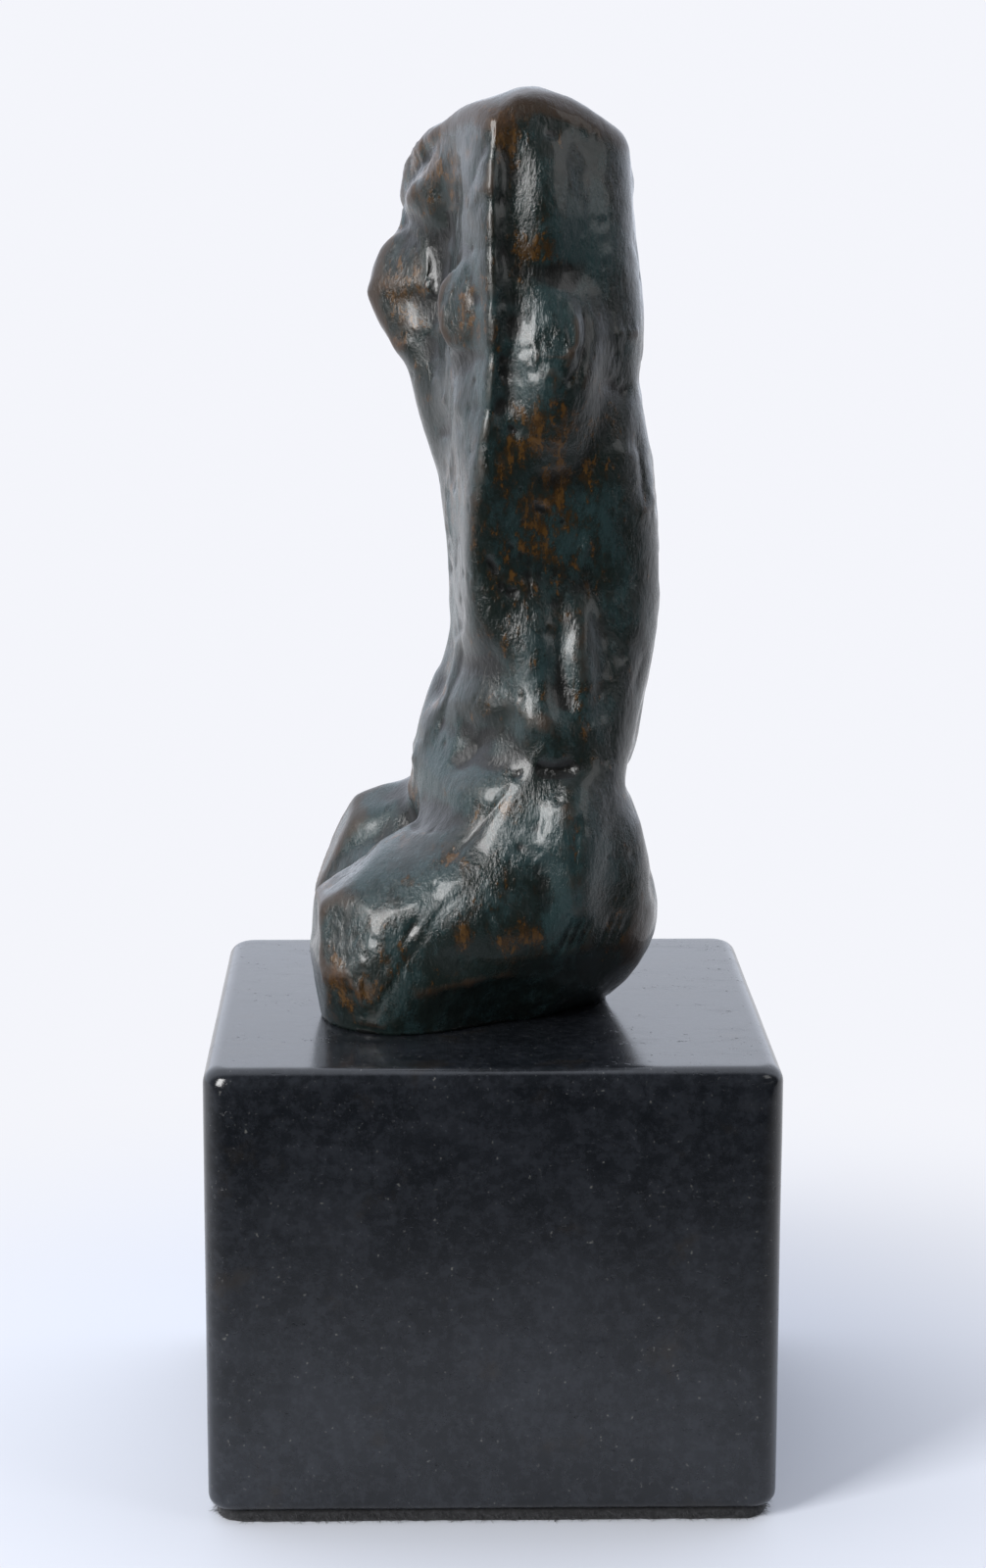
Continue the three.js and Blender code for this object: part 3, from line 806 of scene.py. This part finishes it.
def pressed_flat(grid, normals, heights):
    """Push what stands above a small tilted plane down onto it, at one random place after another."""
    rows = RANDOM.integers(PRESS_MARGINS[0], grid.shape[0] - PRESS_MARGINS[1], PRESS_COUNT)
    columns = RANDOM.integers(0, grid.shape[1], PRESS_COUNT)
    sizes = RANDOM.uniform(*PRESS_SIZE, PRESS_COUNT)
    depths = RANDOM.uniform(*PRESS_DEPTH, PRESS_COUNT)
    tilts = RANDOM.normal(0, PRESS_TILT, (PRESS_COUNT, 3))
    hidden = 1 - PRESS_SPARED * side_share(normals, "near")
    for row, column, size, depth, tilt in zip(rows, columns, sizes, depths, tilts):
        centre = grid[row, column] + normals[row, column] * heights[row, column]
        facing = normals[row, column] + tilt
        away = grid - grid[row, column]
        hold = ease(1 - np.linalg.norm(away, axis=-1) / size, 0.0, PRESS_EDGE)
        above = (grid + normals * heights[..., None] - centre) @ facing + depth
        heights = heights - np.maximum(above, 0) * hold * hidden
    return heights


print("broken places", len(BROKEN), "pits", PIT_COUNT, "presses", PRESS_COUNT)

# %% Relief
# each wave's size and height
WAVES = {"hand": (14.0, 0.18), "thumb": (5.0, 0.09), "tool": (1.9, 0.06)}


def torso_relief(grid, normals):
    """Swells first, then presses, then creases, broken places, waves and pits, as one outward height."""
    heights = np.zeros(grid.shape[:2])
    for mark in SWELLS.values():
        heights += mark_height(grid, normals, *mark, crisp=False)
    heights = pressed_flat(grid, normals, heights)
    for mark in list(CREASES.values()) + random_creases():
        heights += mark_height(grid, normals, *mark)
    for place in BROKEN.values():
        heights += broken_height(grid, normals, *place)
    for size, height in WAVES.values():
        heights += height * soft_noise(grid, size)
    return heights + pit_height(grid)


relief = torso_relief(torso_form, form_normals)
print("relief from", round(float(relief.min()), 2), "to", round(float(relief.max()), 2), "mm")

# %% [markdown]
# ## Strokes on the hip
# Low on the hip the real bronze carries two small clusters of scratched lines. Here they are plain rows
# of short slanted strokes, cut as narrow grooves in the same way as the other marks.

# %% Scratched strokes
# left, right, low and high edge of each row
STROKE_ROWS = {"first": (12.6, 17.2, 14.4, 22.6), "second": (19.6, 24.4, 14.6, 22.8)}
STROKE_WIDTH, STROKE_DEPTH, STROKE_LEAN = 0.35, -0.45, 2.4
STROKE_COUNT, STROKE_START, STROKE_TALL = 3, 0.12, 0.72


def scratched_strokes(left, right, low, high):
    """A row of slanted strokes, evenly spaced in a box in the side view."""
    across = left + (right - left) * (np.arange(STROKE_COUNT) + 0.5) / STROKE_COUNT
    foot = low + (high - low) * STROKE_START
    head = foot + (high - low) * STROKE_TALL
    return [[(x - STROKE_LEAN / 2, foot), (x + STROKE_LEAN / 2, head)] for x in across]


strokes = [line for box in STROKE_ROWS.values() for line in scratched_strokes(*box)]
for line in strokes:
    relief += mark_height(torso_form, form_normals, "near", STROKE_WIDTH, STROKE_DEPTH, line)
print("scratched strokes", len(strokes))

# %% [markdown]
# ## Putting the grid into a mesh
# The grid becomes quads, closed by one point at the top and one under the foot. The relief fades out at
# the foot, so that the bronze sits flat on the block. How proud each point stands of its smoothed
# neighbourhood goes along as an attribute: the material rubs the high places and darkens the low ones with
# patina and painted shade. Two more attributes hold the stains, brown and teal, placed on the side that the
# photograph shows.

# %% Closed shells from a grid
def shell_faces(rows, columns):
    """Quads of a wrapped grid, and triangles to a point below its first ring and above its last."""
    ring, around = np.meshgrid(np.arange(rows - 1), np.arange(columns), indexing="ij")
    ahead = (around + 1) % columns
    quads = np.stack([ring * columns + around, ring * columns + ahead,
                      (ring + 1) * columns + ahead, (ring + 1) * columns + around], -1).reshape(-1, 4)
    first = np.arange(columns)
    second = (first + 1) % columns
    below, above = rows * columns, rows * columns + 1
    under = np.stack([second, first, np.full(columns, below)], -1)
    top = (rows - 1) * columns
    over = np.stack([top + first, top + second, np.full(columns, above)], -1)
    return quads, np.concatenate([under, over])


def shell_object(name, grid, below, above, attributes=None):
    """A smooth closed mesh from a wrapped grid in millimetres, with its point attributes."""
    quads, triangles = shell_faces(*grid.shape[:2])
    points = np.concatenate([grid.reshape(-1, 3), [below, above]]) * MM
    mesh = bpy.data.meshes.new(name)
    mesh.from_pydata(points.tolist(), [], quads.tolist() + triangles.tolist())
    mesh.polygons.foreach_set("use_smooth", np.ones(len(mesh.polygons), bool))
    for key, values in (attributes or {}).items():
        ends = [values[0].mean(), values[-1].mean()]
        layer = mesh.attributes.new(key, "FLOAT", "POINT")
        layer.data.foreach_set("value", np.concatenate([values.reshape(-1), ends]).astype(np.float32))
    mesh.update()
    made = bpy.data.objects.new(name, mesh)
    scene.collection.objects.link(made)
    return made


print("a shell of 3 rings of 4 points has", sum(map(len, shell_faces(3, 4))), "faces")

# %% Stains
STAIN_LEVEL, STAIN_SWING = 0.35, 0.9
# spacing and shift of the noise that stains the other sides
BROWN_GRAIN = (11.0, 3.0)
TEAL_GRAIN = (14.0, 17.0)
BROWN_PLACES = [
    # across, up, half width, half height, strength
    (2, 157, 4, 5, 1.1), (7, 137, 5, 4, 0.7), (8, 107, 10, 8, 0.9), (5, 97, 8, 8, 0.7),
    (16, 98, 5, 8, 0.7), (10, 91, 12, 15, 1.0),
    (0.5, 118, 2.5, 12, 0.6), (-2, 41, 3, 3, 0.4), (-7, 31.5, 5, 2, 0.7), (-14, 27.5, 5, 1.6, 0.6),
    (2, 42, 3, 3, 0.7), (-5, 19, 2.5, 3, 0.8), (2, 17.3, 3, 2.5, 0.9), (6.7, 18.4, 3.5, 2.5, 1.0),
    (-17.5, 13, 3, 5, 0.9), (-23, 8, 4, 4, 1.0), (-27.5, 10, 2, 5, 1.0), (17, 58, 3, 6, 0.5),
    (-14, 129, 5, 7, 1.3), (-4, 127, 3, 6, 1.3), (-11, 152, 6, 7, 1.1), (21, 18, 4, 4, 0.5),
    (14.6, 35, 1.5, 5, 0.7),
]
TEAL_PLACES = [
    (14, 140, 7, 10, 0.9), (10, 128, 6, 6, 0.5), (6, 116, 7, 6, 0.5), (-8, 43, 6, 8, 0.9),
    (0, 46, 6, 8, 0.8), (10, 36, 6, 6, 1.0), (3, 36, 5, 5, 0.9), (-10, 27, 6, 4, 0.7),
    (0, 25, 7, 5, 0.7), (-20, 18, 6, 4, 0.7), (9, 62, 9, 12, 0.8), (20, 30, 5, 8, 0.5),
    (-22, 30, 5, 8, 0.6), (12, 22, 6, 5, 0.5),
]


def stain_share(grid, normals, places, size, shift):
    """Soft ovals listed for the near side, and a slow noise where the surface turns from it."""
    near = side_share(normals, "near")
    share = np.zeros(grid.shape[:2])
    for across, up, wide, tall, strength in places:
        oval = ((grid[..., 0] - across) / wide) ** 2 + ((grid[..., 2] - up) / tall) ** 2
        share = np.maximum(share, strength * np.exp(-oval))
    elsewhere = np.clip(STAIN_LEVEL + STAIN_SWING * soft_noise(grid + shift, size), 0, 1)
    return near * share + (1 - near) * elsewhere


brown_share = stain_share(torso_form, form_normals, BROWN_PLACES, *BROWN_GRAIN)
teal_share = stain_share(torso_form, form_normals, TEAL_PLACES, *TEAL_GRAIN)
print("stains: brown", brown_share.mean().round(2), "teal", teal_share.mean().round(2))

# %% Torso mesh
FOOT_FADE = 2.5
FOOT_LIP, LIP_HEIGHT, LIP_GRAIN = 0.5, 0.5, 1.3
SMOOTHING = 26


def blurred(grid, rounds):
    """The grid averaged with its neighbours: half its own, a quarter each, round and then up, repeated."""
    for _ in range(rounds):
        grid = 0.5 * grid + 0.25 * (np.roll(grid, 1, 1) + np.roll(grid, -1, 1))
        padded = np.concatenate([grid[:1], grid, grid[-1:]])
        grid = 0.5 * grid + 0.25 * (padded[:-2] + padded[2:])
    return grid


def dressed_torso():
    """The form moved out by its relief, flat at the foot; returns points and how proud each one stands."""
    fade = ease(torso_form[..., 2], 0.0, FOOT_FADE)
    grid = torso_form + form_normals * (relief * fade)[..., None]
    grid[..., 2] = np.clip(grid[..., 2], 0.0, None)
    lip = FOOT_LIP * np.exp(-grid[..., 2] / LIP_HEIGHT) * (0.5 + 0.5 * soft_noise(grid, LIP_GRAIN))
    level = form_normals * (1, 1, 0)
    grid = grid + level / (np.linalg.norm(level, axis=-1, keepdims=True) + TINY) * lip[..., None]
    grid[0, :, 2] = 0.0
    proud = ((grid - blurred(grid, SMOOTHING)) * grid_normals(grid)).sum(-1)
    return grid, proud


torso_grid, torso_proud = dressed_torso()
lifted = torso_grid + (0, 0, block_high[2])
torso_below = (*lifted[0].mean(0)[:2], block_high[2])
torso_above = lifted[-1].mean(0)
torso_attributes = {"proud": torso_proud[:-1], "brown": brown_share[:-1], "teal": teal_share[:-1]}
torso = shell_object("bronze_torso", lifted[:-1], torso_below, torso_above, torso_attributes)
print("torso", len(torso.data.polygons), "faces, standing proud by", torso_proud.max().round(2), "mm")

# %% [markdown]
# ## Waxed, patinated bronze
# The cast was coloured with chemicals, green over brown over black, then waxed. So the finish is dark and
# glossy: green-black with blue-green clouds, brown where handling rubbed the high places, and black in the
# hollow places, partly as patina and partly as painted shade. A metal shader would be too bright, because
# the patina covers the metal. A dark base under a clear coat gives the pale rims, and a fine brushed bump
# breaks up the highlights.

# %% Bronze
GREEN_BLACK = (0.008, 0.013, 0.0115)
BLUE_GREEN = (0.017, 0.036, 0.038)
UMBER = (0.034, 0.018, 0.006)
OCHRE = (0.085, 0.042, 0.011)
RUBBED = (0.060, 0.028, 0.012)
HOLLOW_BLACK_AND_SHADE = (0.003, 0.0035, 0.003)
BRONZE_BUMP, BRONZE_DEPTH = 0.55, 0.0004
WAX_WEIGHT, WAX_ROUGHNESS = 0.3, 0.12
REFRACTION = 1.5


def mesh_value(start, name):
    """One of the mesh's own attributes, as a value."""
    return start.node("ShaderNodeAttribute", {"attribute_name": name}, output="Fac")


def bronze_material():
    """Green-black, blue-green clouds, brown stains, rubbed where proud, hollow places black as patina and
    painted shade.
    """
    material, start, place = new_material("patinated_bronze")
    proud, brown, teal = (mesh_value(start, name) for name in ("proud", "brown", "teal"))
    clouds = noise(place, 0.014, 5.0, 0.65, (1.0, 1.0, 0.6), shift=0.3)
    mottle = noise(place, 0.0034, 6.0, 0.72, (1.0, 1.0, 0.55), shift=4.1)
    flecks = noise(place, 0.0014, 5.0, 0.70, (1.0, 1.0, 0.55), shift=7.7)
    wrinkles = noise(place, 0.0007, 3.0, 0.60, (1.0, 1.0, 0.45), shift=2.3)
    grain = noise(place, 0.0003, 2.0, 0.60, shift=5.9)

    drifts = clouds.step(0.36, 0.64)
    patches = mottle.step(0.36, 0.64)
    spots = flecks.step(0.40, 0.68)
    green = (teal * 0.8 + drifts * 0.5 + patches * 0.5).step(0.45, 1.15)
    colour = green.mix(GREEN_BLACK, BLUE_GREEN)
    warm = (brown * 0.8 - drifts * 0.35 - patches * 0.75 + spots * 0.45).step(-0.05, 0.55)
    colour = warm.mix(colour, UMBER)
    rust = (warm * 0.7 + spots * 0.7).step(0.85, 1.25)
    colour = (rust * 0.75).mix(colour, OCHRE)
    rubbing = (proud + (flecks - 0.5) * 0.5).step(0.20, 0.60)
    colour = (rubbing * 0.5).mix(colour, RUBBED)
    # painted shade: hollow places go black, partly the patina there and partly shade painted into creases
    # and recesses
    hollow_patina_and_shade = (proud + (flecks - 0.5) * 0.2).step(-0.04, -0.26)
    colour = hollow_patina_and_shade.mix(colour, HOLLOW_BLACK_AND_SHADE)

    roughness = 0.15 + mottle * 0.15 + hollow_patina_and_shade * 0.08 + rubbing * 0.20 + green * 0.05
    height = wrinkles * 0.7 + grain * 0.25 + flecks * 1.1
    shader = start.node("ShaderNodeBsdfPrincipled", {}, {
        "Base Color": colour,
        "Roughness": roughness,
        "Metallic": rubbing * 0.15,
        "IOR": REFRACTION,
        "Coat Weight": WAX_WEIGHT,
        "Coat Roughness": WAX_ROUGHNESS,
        "Normal": bumped(start, BRONZE_BUMP, BRONZE_DEPTH, height),
    })
    finish_material(start, shader)
    return material


def place_piece(piece, material, node):
    """Give a piece its finish, hang it on the frame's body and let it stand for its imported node."""
    piece.data.materials.append(material)
    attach(piece, "root")
    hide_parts(node)


place_piece(torso, bronze_material(), "torso")
print("bronze on", torso.name)

# %% [markdown]
# ## The stone block
# The block was sawn square, its edges rounded over and everything polished. A cube with a bevel would be
# too perfect, so it is a profile carried round a square with round corners: the profile rises from the
# underside over a small round, up the face and over a larger round to the middle of the top. A slow
# wobble and a few chips come on top of that.

# %% Block profile
CORNER_ROUND, TOP_ROUND, FOOT_ROUND = 5.0, 3.2, 2.5
BLOCK_SIDE = block_high[0] - block_low[0]
BLOCK_AROUND, ARC_STEPS, FACE_STEPS, CAP_STEPS = 320, 14, 60, 40


def spun(x, y, angle):
    """Points turned about the middle by an angle."""
    return np.stack([x * np.cos(angle) - y * np.sin(angle), x * np.sin(angle) + y * np.cos(angle)], -1)


def square_path(count, side, corner):
    """Points and outward directions round a square with round corners, evenly spaced from mid-front."""
    flat = side - 2 * corner
    arc = corner * math.pi / 2
    travel = np.arange(count) / count * 4 * (flat + arc) + flat / 2
    length = travel % (flat + arc)
    quarter = np.floor(travel / (flat + arc)) * math.pi / 2
    bend = np.clip(length - flat, 0, arc) / corner
    x = np.minimum(length, flat) - flat / 2 + corner * np.sin(bend)
    y = -side / 2 + corner - corner * np.cos(bend)
    out = np.stack([np.sin(bend), -np.cos(bend)], -1)
    return spun(x, y, quarter), spun(out[:, 0], out[:, 1], quarter)


def block_profile(height):
    """Inset from the face and height of each ring: round at the foot, up the face, round at the top."""
    arc = np.linspace(0, math.pi / 2, ARC_STEPS)
    face = np.linspace(FOOT_ROUND, height - TOP_ROUND, FACE_STEPS)[1:-1]
    shoulder = height - TOP_ROUND + TOP_ROUND * np.sin(arc)
    inset = np.concatenate([FOOT_ROUND * (1 - np.sin(arc)), 0 * face, TOP_ROUND * (1 - np.cos(arc))])
    rise = np.concatenate([FOOT_ROUND * (1 - np.cos(arc)), face, shoulder])
    return inset, rise


def carried_round(path, outward, inset, rise, corner):
    """Carry a profile round a path: each ring steps in from the path, by the corner's radius at most."""
    step = np.minimum(inset, corner)[:, None, None]
    flat = path[None] - outward[None] * step
    return np.concatenate([flat, np.broadcast_to(rise[:, None, None], (*flat.shape[:2], 1))], -1)


def capped(rings, steps):
    """The rings, and above them more that shrink from the last one to the middle of the top."""
    shrink = np.linspace(1, 0, steps + 1)[1:-1]
    cap = np.repeat(rings[-1:], len(shrink), 0)
    cap[..., :2] *= shrink[:, None, None]
    return np.concatenate([rings, cap])


def block_grid():
    """The profile carried round the square, and closed across the top."""
    path, outward = square_path(BLOCK_AROUND, BLOCK_SIDE, CORNER_ROUND)
    inset, rise = block_profile(block_high[2] - block_low[2])
    rings = carried_round(path, outward, inset, rise, CORNER_ROUND)
    return capped(rings, CAP_STEPS) + (0, 0, block_low[2])


print("block profile", len(block_profile(block_high[2] - block_low[2])[0]), "rings")

# %% A worn block
WOBBLE_DEPTH, WOBBLE_SIZE, WOBBLE_FREE = 0.05, 18.0, (0.05, 3.0)
CHIP_GRAIN, CHIP_EDGE, CHIP_LEVEL, CHIP_SWING = 0.9, 0.45, 0.75, 0.5
CHIPS = {
    # centre, radius and depth
    "right_corner": ((46.9, -49.3, 79.2), 1.5, 0.35),
    "right_face": ((44.2, -50.0, 74.6), 2.2, 0.30),
    "middle_face": ((17.6, -50.0, 34.6), 1.3, 0.30),
    "left_corner": ((-46.0, -49.8, 79.4), 1.2, 0.15),
}


def worn_block():
    """The polished block with a slow wobble of its faces and a few chips knocked out of it."""
    grid = block_grid()
    normals = grid_normals(grid)
    away_from_top = ease(block_high[2] - grid[..., 2], *WOBBLE_FREE)
    sink = WOBBLE_DEPTH * (soft_noise(grid, WOBBLE_SIZE) - 1) * away_from_top
    for centre, radius, depth in CHIPS.values():
        away = np.linalg.norm(grid - np.array(centre), axis=-1) / radius
        rough = CHIP_LEVEL + CHIP_SWING * soft_noise(grid, CHIP_GRAIN)
        sink -= depth * rough * ease(1 - away, 0.0, CHIP_EDGE)
    return grid + normals * sink[..., None]


block = worn_block()
plinth = shell_object("stone_block", block, (0, 0, block_low[2]), (0, 0, block_high[2]))
print("block", len(plinth.data.polygons), "faces")

# %% [markdown]
# ## Polished black stone
# Close up the polish is not perfect: fine pale specks, brown clouds, tiny pits and hairline scratches.
# The gloss does most of the work, because the top mirrors the white backdrop and the figure's foot.

# %% Stone
STONE_BLACK = (0.0070, 0.0082, 0.0104)
STONE_GREY = (0.0215, 0.0240, 0.0295)
STONE_BROWN = (0.021, 0.0170, 0.0130)
STONE_SPECK = (0.10, 0.10, 0.095)
STONE_BUMP, STONE_DEPTH = 0.35, 0.00012


def stone_material():
    """Black with grey clouds and mottle, brown drifts and pale specks; pits and scuffs dull the polish."""
    material, start, place = new_material("polished_stone")
    clouds = noise(place, 0.020, 5.0, 0.65, shift=0.9)
    brown = noise(place, 0.013, 4.0, 0.6, shift=3.3)
    mottle = noise(place, 0.0018, 4.0, 0.7, shift=6.1)
    specks = noise(place, 0.0009, 2.0, 0.5, shift=8.7)
    scuffs = noise(place, 0.004, 4.0, 0.7, (0.35, 1.0, 1.0), shift=2.9)

    colour = (clouds.step(0.38, 0.66) * 0.45 + mottle.step(0.40, 0.66) * 0.55).mix(STONE_BLACK, STONE_GREY)
    colour = (brown.step(0.58, 0.74) * 0.6).mix(colour, STONE_BROWN)
    colour = (specks.step(0.66, 0.75) * mottle.step(0.46, 0.60)).mix(colour, STONE_SPECK)
    pits = specks.step(0.36, 0.27) * scuffs.step(0.46, 0.60)
    roughness = 0.13 + clouds * 0.07 + scuffs.step(0.5, 0.75) * 0.08 + pits * 0.25
    height = mottle * 0.25 - pits * 1.0 + scuffs * 0.2
    shader = start.node("ShaderNodeBsdfPrincipled", {}, {
        "Base Color": colour,
        "Roughness": roughness,
        "IOR": REFRACTION,
        "Normal": bumped(start, STONE_BUMP, STONE_DEPTH, height),
    })
    finish_material(start, shader)
    return material


place_piece(plinth, stone_material(), "plinth")
print("stone on", plinth.name)

# %% [markdown]
# ## The felt pad
# A square of black felt is glued under the block. It is a thin slab, but its cut edge is what shows: soft
# fibres stand out of it and lie on the table. Particle hair isn't exported, so each fibre is a thin closed
# spike, and all of them together are one piece that goes with the felt.

# %% Felt
FELT_SIDE = felt_high[0] - felt_low[0]
FELT_CORNER = 5.5
FELT_AROUND, FELT_RINGS, FELT_CAP = 220, 9, 16
EDGE_ROUND, EDGE_FRAY, FRAY_SIZE = 0.35, 0.25, 1.3


def felt_grid():
    """The slab's edge as a slightly bulging, uneven band, and rings across its top."""
    path, outward = square_path(FELT_AROUND, FELT_SIDE, FELT_CORNER)
    share = np.linspace(0, 1, FELT_RINGS)
    thick = felt_high[2] - felt_low[2]
    inset = EDGE_ROUND * (2 * share - 1) ** 4
    rings = carried_round(path, outward, inset, share * thick, FELT_CORNER)
    rings[..., :2] -= outward[None] * (EDGE_FRAY + EDGE_FRAY * soft_noise(rings, FRAY_SIZE))[..., None]
    return capped(rings, FELT_CAP)


felt = shell_object("felt_pad_soft", felt_grid(), (0, 0, felt_low[2]), (0, 0, felt_high[2]))
print("felt", round(FELT_SIDE, 1), "mm square,", len(felt.data.polygons), "faces")

# %% Fibres
FIBRE_COUNT, FIBRE_LENGTH, FIBRE_TRIM, FIBRE_THICK = 2600, (0.7, 2.2), (0.4, 1), 0.045
FIBRE_SET_BACK, FIBRE_DRIFT = 0.8, 0.7
FIBRE_LEVEL, FIBRE_FALL = (0.15, 1.75), (0.1, 1.2)
TIP_CLEAR, TABLE_CLEAR = 0.08, 0.03
MIDDLE_SHARE, MIDDLE_FALL, MIDDLE_THICK = 0.55, 0.3, 0.8
# corners of one fibre's faces: 0 to 2 at its root, 3 to 5 at its middle, 6 at its tip
FIBRE_QUADS = np.array([(0, 1, 4, 3), (1, 2, 5, 4), (2, 0, 3, 5)])
FIBRE_TRIANGLES = np.array([(0, 2, 1), (3, 4, 6), (4, 5, 6), (5, 3, 6)])


def fibre_points():
    """Each fibre is a bent spike: three corners at its root, three at its middle, one at its tip."""
    count = FIBRE_COUNT
    path, outward = square_path(count, FELT_SIDE - FIBRE_SET_BACK, FELT_CORNER)
    drift = RANDOM.normal(0, FIBRE_DRIFT, count)
    sideways = np.stack([-outward[:, 1], outward[:, 0]], -1)
    lean = outward + sideways * drift[:, None]
    lean /= np.linalg.norm(lean, axis=1, keepdims=True)
    length = RANDOM.uniform(*FIBRE_LENGTH, count) * RANDOM.uniform(*FIBRE_TRIM, count)
    level = RANDOM.uniform(*FIBRE_LEVEL, count)
    fall = np.minimum(RANDOM.uniform(*FIBRE_FALL, count), level - TIP_CLEAR)
    root = np.column_stack([path, level])
    middle = np.column_stack([path + lean * (length * MIDDLE_SHARE)[:, None], level - fall * MIDDLE_FALL])
    tip = np.column_stack([path + lean * length[:, None], level - fall])
    side = np.column_stack([-lean[:, 1], lean[:, 0], np.zeros(count)])
    corners = [side, np.array([0, 0, 1.0]) - side * 0.5, np.array([0, 0, -1.0]) - side * 0.5]
    base = np.stack([root + corner * FIBRE_THICK for corner in corners], 1)
    waist = np.stack([middle + corner * FIBRE_THICK * MIDDLE_THICK for corner in corners], 1)
    return np.concatenate([base, waist, tip[:, None]], 1)


def fibre_object(name):
    """All the fibres as one mesh: the same seven faces for each, shifted by its first point."""
    points = fibre_points()
    points[..., 2] = np.maximum(points[..., 2], TABLE_CLEAR)
    first = (np.arange(len(points)) * points.shape[1])[:, None, None]
    quads = (FIBRE_QUADS + first).reshape(-1, 4)
    triangles = (FIBRE_TRIANGLES + first).reshape(-1, 3)
    mesh = bpy.data.meshes.new(name)
    mesh.from_pydata((points.reshape(-1, 3) * MM).tolist(), [], quads.tolist() + triangles.tolist())
    mesh.update()
    made = bpy.data.objects.new(name, mesh)
    scene.collection.objects.link(made)
    return made


fibres = fibre_object("felt_fibres")
print("fibres", FIBRE_COUNT, "with", len(fibres.data.polygons), "faces")

# %% Felt finish
FELT_BLACK = (0.008, 0.008, 0.009)
FELT_GREY = (0.030, 0.030, 0.033)
FELT_BUMP, FELT_DEPTH = 0.8, 0.0003
FELT_ROUGHNESS, FELT_SHEEN = 0.95, 0.3


def felt_material():
    """Matt black wool with greyer tufts and a faint sheen."""
    material, start, place = new_material("black_felt")
    wool = noise(place, 0.0007, 4.0, 0.7)
    colour = wool.step(0.4, 0.7).mix(FELT_BLACK, FELT_GREY)
    shader = start.node("ShaderNodeBsdfPrincipled", {}, {
        "Base Color": colour,
        "Roughness": FELT_ROUGHNESS,
        "Sheen Weight": FELT_SHEEN,
        "Normal": bumped(start, FELT_BUMP, FELT_DEPTH, wool),
    })
    finish_material(start, shader)
    return material


wool_felt = felt_material()
place_piece(felt, wool_felt, "felt_pad")
fibres.data.materials.append(wool_felt)
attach(fibres, "root")
print("felt declared as a sheet", round(FELT_SIDE * MM, 4), "m square")
